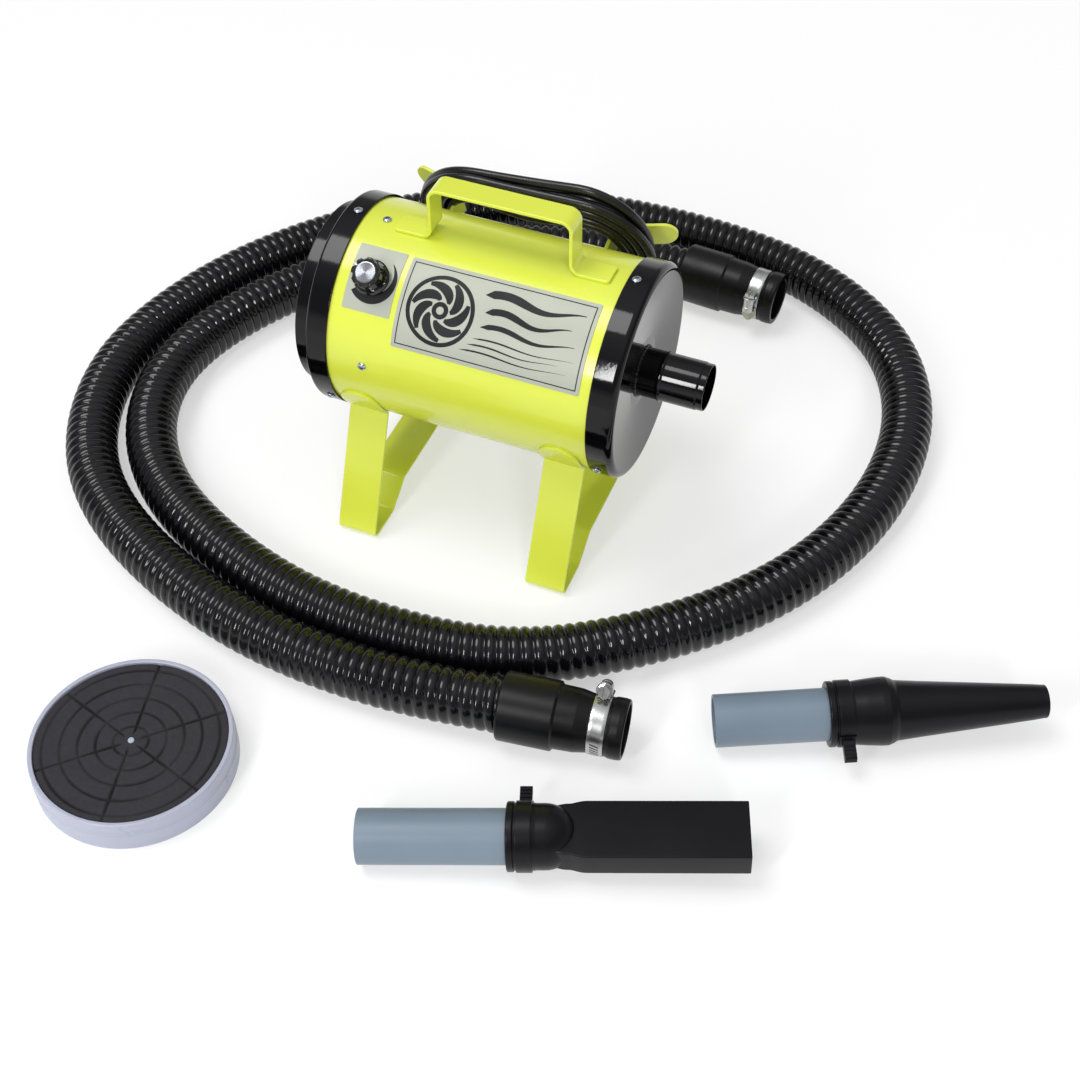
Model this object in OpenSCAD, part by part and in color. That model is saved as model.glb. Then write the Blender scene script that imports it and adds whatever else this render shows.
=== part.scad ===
// Force dryer for grooming pets: a motor blower in a round steel housing on two strap stands,
// with its hose, filter cap and two hand nozzles laid out beside it.
// X runs along the housing towards the outlet, Y towards the back, Z up from the floor.
// The origin is the floor point under the middle of the bare housing.

/* [Housing] */
// Outside diameter of the housing tube
body_d = 178; // [160:1:200]
// Wall of the housing tube
body_wall = 1.5; // [1:0.1:2]
// Length of the housing tube that each end cap covers
cap_lap = 17; // [12:1:17]
// Height of the housing's axis above the floor
axis_h = 176; // [150:1:200]

/* [End caps] */
// Wall of both end caps
cap_wall = 1.8; // [1.2:0.1:2]
// Gap between a cap's skirt and the housing tube
cap_gap = 0.3; // [0.2:0.05:0.4]
// Length of the rear cap's skirt
rear_skirt = 19.6; // [19.4:0.2:24]
// Outside diameter of the rear cap's intake ring
ring_d = 157; // [140:1:160]
// Length of the intake ring
ring_len = 15.4; // [12:0.2:22]
// Length of the front cap from its open edge to its rim
front_len = 22.6; // [22:0.2:28]
// Radius of the front cap's rounded rim
front_rim_r = 5.5; // [3:0.5:7]
// Depth of the dish in the front cap's face
front_dish = 6; // [2:0.5:6]
// Thickness of the intake grille
grille_t = 2; // [1.5:0.1:3]
// Number of the grille's spokes
grille_spokes = 12; // [6:1:16]

/* [Outlet] */
// Outside diameter of the outlet tube
outlet_d = 40.6; // [36:0.2:42]
// Wall of the outlet tube
outlet_wall = 1.7; // [1.2:0.1:2.5]
// Length of the outlet tube beyond the front cap's rim
outlet_len = 51; // [40:1:70]
// Length of the outlet tube's narrowed tip
outlet_tip = 6.5; // [4:0.5:10]

/* [Screws] */
// Radius of a cap screw's thread
screw_r = 2; // [1.5:0.1:2.2]
// Radius of a cap screw's head
screw_head_r = 3.7; // [3:0.1:4.2]
// Height of a screw's head
screw_head_h = 2.2; // [1.6:0.1:2.6]
// Distance from the visible housing's end to the cap screws
cap_screw_in = 7; // [5:0.5:9]
// Distance from the rear cap to the screw that holds the terminal block
top_screw_in = 19; // [16:1:24]
// Distance from the rear cap to the screw that holds the heat sink
side_screw_in = 32; // [28:1:38]
// Angle of the heat sink's screw above the housing's front
side_screw_a = 5; // [0:1:8]

/* [Handle] */
// Thickness of the handle's steel strap
handle_t = 3; // [2:0.1:4]
// Width of the handle's strap
handle_w = 22; // [20:1:30]
// Height of the handle's top above the housing
handle_h = 49; // [40:1:60]
// Length of each of the handle's welding tabs
handle_tab = 31; // [20:1:36]
// Distance from the rear cap to the handle
handle_rear_in = 30; // [26:1:34]
// Distance from the handle to the front cap
handle_front_in = 12; // [8:1:20]
// Inside radius of the handle's upper corners
handle_bend = 7; // [5:0.5:9]

/* [Stands] */
// Thickness of a stand's steel strap
stand_t = 2.5; // [2:0.1:3.5]
// Width of a stand's strap
stand_w = 36; // [28:1:42]
// Outside width of a stand at the floor, front to back
stand_span = 231; // [200:2:240]
// Length of each foot that lies on the floor
foot_len = 41; // [30:1:50]
// Height of the strap's raised middle above the floor
foot_rise = 18; // [8:1:24]
// Run of the slope between a foot and the raised middle
foot_slope = 27; // [20:1:34]
// Angle below the housing's widest line where a leg leaves it
leg_angle = 43; // [36:1:48]
// Angle that a leg's welded tab covers
tab_angle = 25; // [16:1:28]
// Distance from the rear cap to the rear stand
rear_stand_in = 4; // [2:1:16]
// Distance from the front stand to the front cap
front_stand_in = 8; // [4:1:16]

/* [Cord cleat] */
// Width of the cleat's strap
cleat_w = 26; // [22:1:32]
// Thickness of the cleat's strap
cleat_t = 3; // [2:0.1:4]
// Distance between the cleat's two posts, outside
cleat_len = 147; // [136:1:152]
// Height of the cleat's posts above the housing
cleat_h = 36; // [32:1:44]
// Length of each horn along the housing
horn_len = 49; // [40:1:54]
// Rise of each horn from post to tip
horn_rise = 16; // [8:1:20]
// Angle of the cleat behind the top of the housing
cleat_angle = 73; // [70:1:80]
// Place along the housing of the cleat's middle
cleat_x = -9; // [-12:1:0]

/* [Plates] */
// Thickness of both metal plates
plate_t = 0.5; // [0.3:0.1:1]
// Length of the control plate along the housing
control_plate_len = 42; // [38:1:42]
// Angle that the control plate covers
control_plate_angle = 35.6; // [32:0.2:38]
// Length of the name plate
name_plate_len = 162; // [140:1:184]
// Angle that the name plate covers
name_plate_angle = 48.5; // [40:0.5:50]
// Angle of the name plate's middle above the housing's front
name_plate_a = 46; // [42:1:48]
// Distance from the rear cap to the control plate
plate_rear_in = 10; // [8:0.5:14]
// Gap between the control plate and the name plate
plates_apart = 5; // [3:0.5:8]
// Distance from the name plate to the front cap
plate_front_in = 9; // [6:0.5:30]

/* [Speed control] */
// Angle of the knob above the housing's front
knob_angle = 53; // [50:0.5:55]
// Radius of the knob's flange
knob_flange_r = 15; // [13:0.2:16]
// Radius of the knob's fluted top
knob_top_r = 12.2; // [10:0.2:13]
// Height of the knob's top above the plate
knob_h = 20; // [16:0.5:24]
// Gap between the knob and the plate
knob_gap = 3.2; // [3:0.1:4]
// Number of flutes on the knob
knob_flutes = 8; // [6:1:12]
// Radius of the knob's metal disc
knob_disc_r = 8.6; // [6:0.2:9]
// Radius of the speed control's shaft
shaft_r = 3.1; // [2.5:0.1:3.2]
// Radius of the threaded bushing
bushing_r = 4.7; // [4.4:0.1:5]
// Radius of the speed control's case
pot_r = 13; // [10:0.5:14]
// Depth of the speed control's case
pot_len = 18; // [14:1:22]

/* [Blower motor] */
// Radius of the fan casing
fan_r = 72; // [66:0.5:74]
// Length of the fan casing
fan_len = 50; // [48:1:56]
// Wall of the fan casing
fan_wall = 1.5; // [1:0.1:2]
// Distance from the rear cap to the fan casing
fan_in = 61; // [60:1:64]
// Radius of the fan casing's eye
eye_r = 24; // [20:1:28]
// Thickness of the rubber gasket behind the fan casing
gasket_t = 5; // [3:0.5:6]
// Radius of an impeller
impeller_r = 67; // [60:0.5:68]
// Thickness of an impeller over its discs
impeller_w = 11; // [9:0.5:12]
// Number of vanes in each impeller
vanes = 7; // [5:1:9]
// Radius of the motor's armature shaft
arm_shaft_r = 5; // [4:0.1:5.5]
// Radius of the armature's laminated core
core_r = 24; // [20:0.5:26]
// Length of the laminated core
core_len = 38; // [30:1:40]
// Radius of the commutator
comm_r = 13; // [11:0.5:14]
// Outside radius of the motor's barrel
barrel_r = 52; // [50:0.5:54]
// Wall of the motor's barrel
barrel_wall = 2.5; // [2:0.1:3]
// Length of the motor's barrel
barrel_len = 74; // [72:1:78]
// Outside radius of the fan-side bearing
bearing_a_r = 15; // [13:0.5:16]
// Outside radius of the end bearing
bearing_b_r = 11; // [10:0.5:12]
// Radial gap of a turning shaft in its bearing
run_gap = 0.05; // [0.02:0.01:0.1]
// Thickness of the sound-absorbing foam
foam_t = 8; // [5:0.5:10]

/* [Hose] */
// Outside diameter of the corrugated hose
hose_d = 47; // [40:1:48]
// Depth to which the hose is pushed into each cuff
hose_seat = 36.6; // [36.5:0.1:38]
// Gap between the hose and its cuff's bore
cuff_gap = 0.3; // [0.2:0.1:0.5]
// Outside diameter of the tool cuff's wide end
tool_cuff_d = 56.6; // [54:0.2:58]
// Outside diameter of the machine cuff's wide end
machine_cuff_d = 58; // [54:0.2:58]
// Length of a cuff's wide end
cuff_wide_len = 46; // [42:1:50]
// Length of a cuff's narrow end
cuff_narrow_len = 55; // [48:1:60]
// Wall of the tool cuff's narrow end
tool_cuff_wall = 3.4; // [2.8:0.1:3.6]
// Wall of the machine cuff's narrow end
machine_cuff_wall = 5.4; // [4.6:0.1:5.6]
// Gap between a cuff's narrow bore and the tube it grips
grip_gap = 0.15; // [0.1:0.05:0.3]

/* [Hose clamps] */
// Width of a clamp's band
band_w = 13; // [9:1:14]
// Thickness of a clamp's band
band_t = 0.7; // [0.5:0.1:1]
// Radius of a clamp's worm screw
worm_r = 3.6; // [3:0.1:3.8]
// Length of a clamp's worm housing
worm_len = 13; // [10:1:15]
// Height of the worm's axis above the band
worm_h = 6.4; // [6.2:0.1:7]
// Distance from the cuff's open end to the clamp's middle
clamp_back = 21; // [18:1:24]
// Turn of the tool cuff's clamp about the cuff, from straight up
tool_clamp_turn = -35; // [-45:5:20]
// Turn of the machine cuff's clamp about the cuff, from straight up
machine_clamp_turn = 75; // [30:5:85]

/* [Filter cap] */
// Height of the filter cap
filter_h = 30; // [26:1:36]
// Wall of the filter cap
filter_wall = 1.6; // [1.2:0.1:2]
// Gap between the filter cap and the intake ring it snaps over
filter_gap = 0.3; // [0.2:0.1:0.5]
// Thickness of the filter foam
foam_pad_t = 10; // [6:1:12]
// Depth of the foam below the cap's edge
foam_drop = 2; // [1:0.5:4]
// Number of the filter grid's spokes
grid_spokes = 6; // [4:1:8]

/* [Nozzles] */
// Outside diameter of the nozzles' plastic tubes
tube_d = 42.2; // [38:0.2:44]
// Wall of the nozzles' tubes
tube_wall = 2.6; // [2:0.1:3.6]
// Length of tube that shows on the round nozzle
cone_tube_len = 89; // [80:1:120]
// Length of tube that shows on the flat nozzle
flat_tube_len = 112; // [90:1:130]
// Depth to which a tube is pushed into its nozzle
tube_seat = 32; // [25:1:33]
// Wall of the rubber nozzles
rubber_wall = 4; // [3.2:0.1:4.4]
// Length of the round nozzle's wide cuff
cone_cuff_len = 55; // [48:1:60]
// Length of the round nozzle's tapering part
cone_len = 118; // [100:1:140]
// Outside diameter of the round nozzle's tip
cone_tip_d = 26.4; // [22:0.2:32]
// Length of the flat nozzle's round cuff with its dome
flat_cuff_len = 50; // [46:1:56]
// Width of the flat nozzle's head
flat_w = 49; // [48:1:60]
// Thickness of the flat nozzle's head
flat_h = 23; // [14:0.5:25]
// Length of the flat nozzle's head beyond its cuff
flat_len = 130; // [110:1:150]
// Wall of the flat nozzle's head
flat_wall = 3; // [2:0.1:4]
// Width of the rubber strap on each nozzle
strap_w = 12; // [9:0.5:13]
// Thickness of the rubber strap
strap_t = 1.5; // [1.2:0.1:2.4]
// Length of the strap's pull tab
tab_len = 18; // [10:1:20]

/* [Power cord] */
// Diameter of the power cord
cord_d = 8; // [6:0.5:9]
// Length of the strain relief's boot
boot_len = 30; // [20:1:34]
// Length of the cord's winding on the cleat, end to end
hank_len = 230; // [216:2:236]
// Height of the winding across the cleat
hank_w = 132; // [110:2:136]
// Thickness of the winding
hank_t = 18; // [14:1:22]
// Length of the plug's body
plug_len = 40; // [34:1:46]
// Width of the plug's body
plug_w = 26; // [22:1:30]

/* [Hidden] */
$fn = 96;

// Housing and caps
body_r = body_d / 2;
bore_r = body_r - body_wall;
// The housing shows as much of its tube as the two plates and the gaps about them take up
body_len = plate_rear_in + control_plate_len + plates_apart + name_plate_len + plate_front_in;
half = body_len / 2;
top_screw_x = -half + top_screw_in;
side_screw_x = -half + side_screw_in;
knob_x = -half + plate_rear_in + control_plate_len / 2;
name_plate_x = half - plate_front_in - name_plate_len / 2;
rear_stand_x = -half + rear_stand_in + stand_w / 2;
front_stand_x = half - front_stand_in - stand_w / 2;
tube_half = half + cap_lap;
cap_r = body_r + cap_gap + cap_wall;
ring_r = ring_d / 2;
rear_step_x = -half - rear_skirt;
rear_end_x = rear_step_x - ring_len;
rim_x = half + front_len;
dish_x = rim_x - front_dish;
dish_r = 30;
outlet_r = outlet_d / 2;
outlet_bore_r = outlet_r - outlet_wall;
outlet_end_x = rim_x + outlet_len;
outlet_gap = 0.15;
flange_r = dish_r - 1;
flange_t = 1.5;
bead_w = 3;
bead_x = rim_x + 13;
bead_h = 0.8;
tip_step = 0.6;
skirt_r = 3;
screw_gap = 0.1;
grille_back = 3;
grille_gap = 0.2;
grille_bar = 2.4;
grille_hub_r = 12;
cap_screw_angles = [90, 210, 330];
cap_screw_len = 6;
body_screw_len = 10;

// Handle, stands and cleat
handle_len = body_len - handle_rear_in - handle_front_in - 2 * handle_tab;
handle_x = (handle_rear_in - handle_front_in) / 2;
tab_corner = 5;
seat = 0.05;
handle_foot_bend = 4;
leg_bend = 4;
step_bend = 6;
tab_round = 16;
cleat_bend = 6;

// Speed control
plate_gap = 0.1;
nut_h = 2.4;
nut_r = 7;
bushing_out = 5;
pot_drop = 1.3;
disc_t = 1.2;
flange_h = 3;
flute_r = 3.4;
flute_out = 2.4;
shaft_in = 12;
block_size = [24, 16, 12];
sink_size = [30, 26, 4];
sink_fins = 4;
fin_h = 10;
fin_t = 1.6;

// Motor, along X from the housing's middle
fan_x = -half + fan_in;
bulk_x = fan_x - gasket_t;
bulk_t = 2;
bulk_skirt = 8;
bulk_hole_r = 50;
bulk_gap = 0.25;
gasket_in_r = 54;
frame_x = fan_x + fan_len;
frame_t = 3;
first_x = fan_x + 5;
second_x = frame_x - frame_t - impeller_w - 4;
fixed_x = (first_x + impeller_w + second_x) / 2 - 2;
fixed_t = 4;
boss_r = bearing_a_r + 4;
boss_len = 9;
end_x = frame_x + frame_t + barrel_len;
end_t = 4;
end_boss_len = 9;
bearing_b_w = 7;
coil_t = 6;
comm_len = 13;
// What bearing, core, coil and commutator leave of the barrel goes to the three gaps between them
barrel_slack = barrel_len - boss_len - core_len - coil_t - comm_len;
core_x = frame_x + frame_t + boss_len + barrel_slack * 3 / 8;
comm_x = core_x + core_len + coil_t + barrel_slack / 4;
air_gap = 1;
brush_x = comm_x + comm_len / 2;
holder = [11, 10];
brush = [8.4, 7];
brush_gap = 0.3;
spider_x = end_x - 16;
spider_w = 12;
spider_t = 3;
press_gap = 0.05;
nut_len = 7;
shaft_end_r = arm_shaft_r - 1;
foam_x = fan_x + 3;
foam_len = spider_x - foam_x - 6;

// Hose route on the floor, from inside the tool cuff to inside the machine cuff
HOSE = [[146.3, -252.3, 28.5], [110.3, -257.3, 28.5], [30, -266, 25], [-50, -267, 24], [-128, -257, 24],
        [-209, -232, 24], [-279, -197, 24], [-336, -150, 24], [-375, -88, 24], [-394, -10, 24],
        [-383, 78, 24], [-350, 161, 24], [-296, 240, 24], [-225, 309, 24], [-140, 354, 24],
        [-50, 378, 24], [40, 384, 24], [110, 379, 24], [172, 365, 24], [232, 336, 24],
        [288, 287, 24],
        [329, 203, 24], [336, 110, 24], [312, 10, 24], [262, -76, 24], [190, -148, 24],
        [100, -203, 24], [0, -221, 24], [-100, -214, 24], [-190, -186, 24], [-264, -144, 24],
        [-318, -82, 24], [-342, 0, 24], [-322, 92, 24], [-276, 170, 24], [-205, 240, 24],
        [-120, 290, 25], [-30, 315, 27], [38, 319, 29.2], [72, 317.3, 29.2], [108, 314.3, 29.2]];
HOSE_SIDES = 12;

// Power cord: from the strain relief to the winding, and from the winding to the plug
LEAD = [[rear_stand_x, 51.5, 86.8], [rear_stand_x, 59.5, 72.9], [rear_stand_x + 3, 67, 60],
        [rear_stand_x + 12, 74.5, 50], [-66, 84, 45], [-51, 95, 47], [-40, 108, 57], [-33, 119, 73],
        [-28, 128, 92], [-24, 131, 111], [-18, 130, 128], [-9, 125.5, 141.5], [0, 123, 146.5]];
TAIL = [[8, 129, 147.5], [24, 129.5, 143.5], [36, 128.5, 131], [40, 127, 113], [40, 125, 99], [40, 125, 86]];
CORD_SIDES = 8;

cuff_edge = 2.5;
cuff_step = 2;
clamp_seat = 1;
hose_r = hose_d / 2;
tube_r = tube_d / 2;
tool_bore_r = tube_r + grip_gap;
machine_bore_r = outlet_r + grip_gap;
cuff_len = cuff_wide_len + cuff_narrow_len;
clamp_s = cuff_len - clamp_back;
worm_gap = 0.08;
worm_shell = 1.8;
worm_head_r = 5.6;
worm_head_h = 4.5;
worm_flange_r = 6.8;
worm_flange_t = 1.2;

// Filter cap on the floor
filter_pos = [-145, -396.5];
filter_in_r = ring_r + filter_gap;
filter_r = filter_in_r + filter_wall;
filter_lip = 3;
filter_top_in_r = filter_r - filter_wall - filter_lip;
foam_gap = 0.3;
grid_t = 2.5;
grid_bar = 2.5;
grid_rings = 5;
pin_r = 2.6;
pin_gap = 0.1;

// Nozzles on the floor: the open end of each tube, and its heading
cone_pos = [270, -204.2];
cone_heading = 23.7;
flat_pos = [55.2, -404.5];
flat_heading = 20.1;
seat_gap = 0.05;
lip_len = 5;
lip_h = 1;
strap_s = 7;
cuff_r = tube_r + seat_gap + rubber_wall;
body_ring_r = cuff_r + 2;
strap_r = cuff_r + strap_t;
cone_root_r = cuff_r - 1.6;
tab_size = [10, 8];
dome_r = cuff_r - 0.4;
neck_back = 10;

// Cord winding and plug
hank_x = cleat_x + 2;
hank_r = body_r + 13 + hank_t / 2;
hank_hole = [cleat_len + 21, cleat_w + 6];
hank_bend = 8;
hank_drop = (hank_hole[1] - cleat_w) / 2 - 0.3;
gland_x = rear_stand_x;
gland_angle = 150;
gland_r = 10;
gland_t = 2.5;
boot_r = 7.5;
boot_end_r = 5.4;
blade = [1.5, 6.3, 17];
blade_gap = 12.7;
ground_r = 2.4;
ground_len = 20;
blade_in = 8;

// Points of an arc about a centre, in a plane
function arc(c, r, a0, a1, n = 6) = [for (i = [0:n]) c + r * [cos(a0 + (a1 - a0) * i / n),
                                                             sin(a0 + (a1 - a0) * i / n)]];
function unit(v) = v / norm(v);
function flip(a) = [for (i = [len(a) - 1:-1:0]) a[i]];
function turn(v, a) = [v[0] * cos(a) - v[1] * sin(a), v[0] * sin(a) + v[1] * cos(a)];

// A corner of a path, rounded to a radius
function corner(a, p, b, r, n = 5) =
    let (u = unit(a - p), v = unit(b - p), h = acos(u * v) / 2, c = p + unit(u + v) * r / sin(h),
         s = p + u * r / tan(h) - c, k = u[0] * v[1] - u[1] * v[0] > 0 ? -1 : 1)
    [for (i = [0:n]) c + turn(s, k * (180 - 2 * h) * i / n)];
function rounded(p, r) = [p[0], for (i = [1:len(p) - 2]) each corner(p[i - 1], p[i], p[i + 1], r[i]),
                          p[len(p) - 1]];

// Outline of a strap of thickness t whose middle follows a path
function side(p, d) = [for (i = [0:len(p) - 1])
    let (a = unit(p[i] - p[max(i - 1, 0)] + [1e-9, 0]),
         b = unit(p[min(i + 1, len(p) - 1)] - p[i] + [1e-9, 0]),
         m = i == 0 ? b : i == len(p) - 1 ? a : unit(a + b), c = i == 0 || i == len(p) - 1 ? 1 : m * a)
    p[i] + [-m[1], m[0]] * d / c];
function strap(p, t) = concat(side(p, t / 2), flip(side(p, -t / 2)));

// Rings of a tube along a route in space
function tangent(p, i) = unit(p[min(i + 1, len(p) - 1)] - p[max(i - 1, 0)]);
function normals(p, first) = [
    for (i = 0, n = unit(first - (first * tangent(p, 0)) * tangent(p, 0)); i < len(p);
    i = i + 1, t = tangent(p, min(i, len(p) - 1)), n = unit(n - (n * t) * t)) n];
module swept(p, r, sides, first) {
    ns = normals(p, first);
    rings = [for (i = [0:len(p) - 1]) let (t = tangent(p, i), b = cross(t, ns[i]))
        for (k = [0:sides - 1]) p[i] + r * (cos(360 * k / sides) * ns[i] + sin(360 * k / sides) * b)];
    walls = [for (i = [0:len(p) - 2]) for (k = [0:sides - 1]) let (m = (k + 1) % sides)
        each [[i * sides + k, (i + 1) * sides + k, (i + 1) * sides + m],
              [i * sides + k, (i + 1) * sides + m, i * sides + m]]];
    ends = [[for (k = [0:sides - 1]) k], [for (k = [sides - 1:-1:0]) (len(p) - 1) * sides + k]];
    polyhedron(rings, concat(walls, ends));
}

// Places a child whose Z runs along the housing's axis
module on_axis(x = 0) translate([x, 0, axis_h]) rotate([0, 90, 0]) children();
// Places a child whose Z points out of the housing, at an angle above its front
module at_front(x, a) translate([x, 0, axis_h]) rotate([90 - a, 0, 0]) children();
// The same, at an angle behind the housing's top
module at_back(x, a) translate([x, 0, axis_h]) rotate([-a, 0, 0]) children();
// A shape turned about the housing's axis, given as [radius, x] points
module turned(p) on_axis() rotate_extrude() polygon(p);
// A plain ring along Z
module ring(r_out, r_in, h) difference() {
    cylinder(r = r_out, h = h);
    translate([0, 0, -1]) cylinder(r = r_in, h = h + 2);
}
// A sheet curved to the housing's surface
module curved_plate(x, a, size_x, size_a, r_in, t) intersection() {
    on_axis(x - size_x / 2) ring(r_in + t, r_in, size_x);
    at_front(x, a) linear_extrude(2 * body_r)
        square([size_x, 2 * (r_in + t) * sin(size_a / 2)], center = true);
}
module screw_holes(x, r) for (a = cap_screw_angles) at_front(x, a)
    translate([0, 0, body_r / 2]) cylinder(r = r, h = body_r);

// Housing ------------------------------------------------------------------------------------
module housing_tube() color("yellowgreen") difference() {
    on_axis(-tube_half) ring(body_r, bore_r, 2 * tube_half);
    for (x = [-half - cap_screw_in, half + cap_screw_in]) screw_holes(x, screw_r + screw_gap);
    at_front(top_screw_x, 90) cylinder(r = screw_r + screw_gap, h = body_r + 1);
    at_front(side_screw_x, side_screw_a) cylinder(r = screw_r + screw_gap, h = body_r + 1);
    at_front(knob_x, knob_angle) cylinder(r = bushing_r + screw_gap, h = body_r + 1);
    at_back(gland_x, gland_angle) cylinder(r = cord_d / 2 + 1, h = body_r + 1);
}

module front_cap() color("black") difference() {
    turned(concat([[cap_r, half]], arc([cap_r - front_rim_r, rim_x - front_rim_r], front_rim_r, 0, 90),
        [[dish_r, dish_x], [outlet_r + outlet_gap, dish_x], [outlet_r + outlet_gap, dish_x - cap_wall],
         [dish_r, dish_x - cap_wall], [cap_r - front_rim_r, rim_x - cap_wall],
         [cap_r - cap_wall, rim_x - front_rim_r], [cap_r - cap_wall, half]]));
    screw_holes(half + cap_screw_in, screw_r + screw_gap);
}

module outlet_tube() color("black") turned([
    [outlet_bore_r, dish_x - cap_wall - flange_t], [flange_r, dish_x - cap_wall - flange_t],
    [flange_r, dish_x - cap_wall], [outlet_r, dish_x - cap_wall], [outlet_r, bead_x - bead_w / 2],
    [outlet_r + bead_h, bead_x], [outlet_r, bead_x + bead_w / 2], [outlet_r, outlet_end_x - outlet_tip],
    [outlet_r - tip_step, outlet_end_x - outlet_tip + 1], [outlet_r - tip_step, outlet_end_x],
    [outlet_bore_r, outlet_end_x]]);

module rear_cap() color("black") difference() {
    turned(concat([[cap_r, -half]], arc([cap_r - skirt_r, rear_step_x + skirt_r], skirt_r, 0, -90),
        [[ring_r, rear_step_x]], [[ring_r, rear_end_x], [ring_r - cap_wall, rear_end_x],
         [ring_r - cap_wall, rear_step_x + cap_wall], [cap_r - cap_wall, rear_step_x + cap_wall],
         [cap_r - cap_wall, -half]]));
    screw_holes(-half - cap_screw_in, screw_r + screw_gap);
}

module intake_grille() color("dimgray") on_axis(rear_end_x + grille_back) {
    outer = ring_r - cap_wall - grille_gap;
    linear_extrude(grille_t) {
        for (r = [outer, outer * 2 / 3, outer / 3]) difference() {
            circle(r);
            circle(r - grille_bar);
        }
        circle(grille_hub_r);
        for (i = [0:grille_spokes - 1]) rotate(i * 360 / grille_spokes)
            translate([0, -grille_bar / 2]) square([outer - grille_bar / 2, grille_bar]);
    }
}

// A pan-head screw: its head sits outside radius r and its thread runs inward
module screw(r, length) {
    translate([0, 0, r - length]) cylinder(r = screw_r, h = length + 0.5);
    translate([0, 0, r]) rotate_extrude() polygon([[0, 0], [screw_head_r, 0],
        [screw_head_r, screw_head_h / 2], [screw_head_r * 0.75, screw_head_h * 0.88],
        [screw_head_r * 0.35, screw_head_h], [0, screw_head_h]]);
}

module cap_screws() color("silver")
    for (x = [-half - cap_screw_in, half + cap_screw_in], a = cap_screw_angles)
        at_front(x, a) screw(cap_r + plate_gap, cap_screw_len);

module body_screws() color("silver") {
    at_front(top_screw_x, 90) screw(body_r + plate_gap, body_screw_len);
    at_front(side_screw_x, side_screw_a) screw(body_r + plate_gap, body_screw_len);
}

// Handle, stands and cleat --------------------------------------------------------------------
module handle() color("yellowgreen") {
    low = body_r + handle_t / 2 - 0.9;
    top = body_r + handle_h - handle_t / 2;
    out = handle_len / 2 - handle_t / 2;
    tip = handle_len / 2 + handle_tab;
    r = [0, handle_foot_bend + handle_t / 2, handle_bend + handle_t / 2, handle_bend + handle_t / 2,
         handle_foot_bend + handle_t / 2, 0];
    path = rounded([[-tip, low], [-out, low], [-out, top], [out, top], [out, low], [tip, low]], r);
    translate([handle_x, 0, axis_h]) difference() {
        intersection() {
            rotate([90, 0, 0]) translate([0, 0, -handle_w / 2]) linear_extrude(handle_w)
                polygon(strap(path, handle_t));
            linear_extrude(2 * body_r) polygon(concat(
                arc([tip - tab_corner, handle_w / 2 - tab_corner], tab_corner, 0, 90),
                arc([-tip + tab_corner, handle_w / 2 - tab_corner], tab_corner, 90, 180),
                arc([-tip + tab_corner, -handle_w / 2 + tab_corner], tab_corner, 180, 270),
                arc([tip - tab_corner, -handle_w / 2 + tab_corner], tab_corner, 270, 360)));
        }
        translate([-tip - 1, 0, 0]) rotate([0, 90, 0]) cylinder(r = body_r + seat, h = 2 * tip + 2);
    }
}

// A stand: one strap bent into a foot at each side, with a tab curved up the housing at each end
module stand(x) {
    mid = body_r + seat + stand_t / 2;
    leg = [-mid * cos(leg_angle), axis_h - mid * sin(leg_angle)];
    low = stand_t / 2;
    foot = [-stand_span / 2 + stand_t, low];
    near = [[0, leg_bend, step_bend, step_bend], [leg, foot, [-stand_span / 2 + foot_len, low],
            [-stand_span / 2 + foot_len + foot_slope, foot_rise + low]]];
    far = [for (p = flip(near[1])) [-p[0], p[1]]];
    path = rounded(concat(near[1], far), concat(near[0], flip(near[0])));
    translate([x + stand_w / 2, 0, 0]) rotate([90, 0, -90]) linear_extrude(stand_w)
        polygon([for (p = strap(path, stand_t)) [-p[0], p[1]]]);
    for (s = [-1, 1]) intersection() {
        translate([x - stand_w / 2, 0, axis_h]) rotate([0, 90, 0])
            ring(body_r + seat + stand_t, body_r + seat, stand_w);
        translate([x, s * body_r / 2, axis_h]) rotate([-s * 90, 0, 0]) linear_extrude(body_r) tab_outline(s);
    }
}
// The rounded end of a leg's tab, seen from the front of the housing
module tab_outline(s) {
    r = body_r + stand_t;
    low = -r * sin(leg_angle + 1);
    high = -r * sin(leg_angle - tab_angle);
    scale([1, s]) polygon(concat([[-stand_w / 2, -low], [-stand_w / 2, -high + tab_round]],
        [for (i = [0:12]) [-stand_w / 2 * cos(i * 15), -high + tab_round * (1 - sin(i * 15))]],
        [[stand_w / 2, -high + tab_round], [stand_w / 2, -low]]));
}
module front_stand() color("yellowgreen") stand(front_stand_x);
module rear_stand() color("yellowgreen") stand(rear_stand_x);

module cord_cleat() color("yellowgreen") {
    low = body_r + cleat_t / 2 - 1.6;
    top = body_r + cleat_h - cleat_t / 2;
    out = cleat_len / 2 - cleat_t / 2;
    tip = cleat_len / 2 + horn_len;
    b = cleat_bend + cleat_t / 2;
    path = rounded([[-tip, top + horn_rise], [-out, top], [-out, low], [out, low], [out, top],
                    [tip, top + horn_rise]], [0, b, b, b, b, 0]);
    at_back(cleat_x, cleat_angle) difference() {
        intersection() {
            rotate([90, 0, 0]) translate([0, 0, -cleat_w / 2]) linear_extrude(cleat_w)
                polygon(strap(path, cleat_t));
            linear_extrude(2 * body_r) polygon(concat(arc([tip - cleat_w / 2, 0], cleat_w / 2, -90, 90, 16),
                arc([-tip + cleat_w / 2, 0], cleat_w / 2, 90, 270, 16)));
        }
        translate([-tip - 1, 0, 0]) rotate([0, 90, 0]) cylinder(r = body_r + seat, h = 2 * tip + 2);
    }
}

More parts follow.
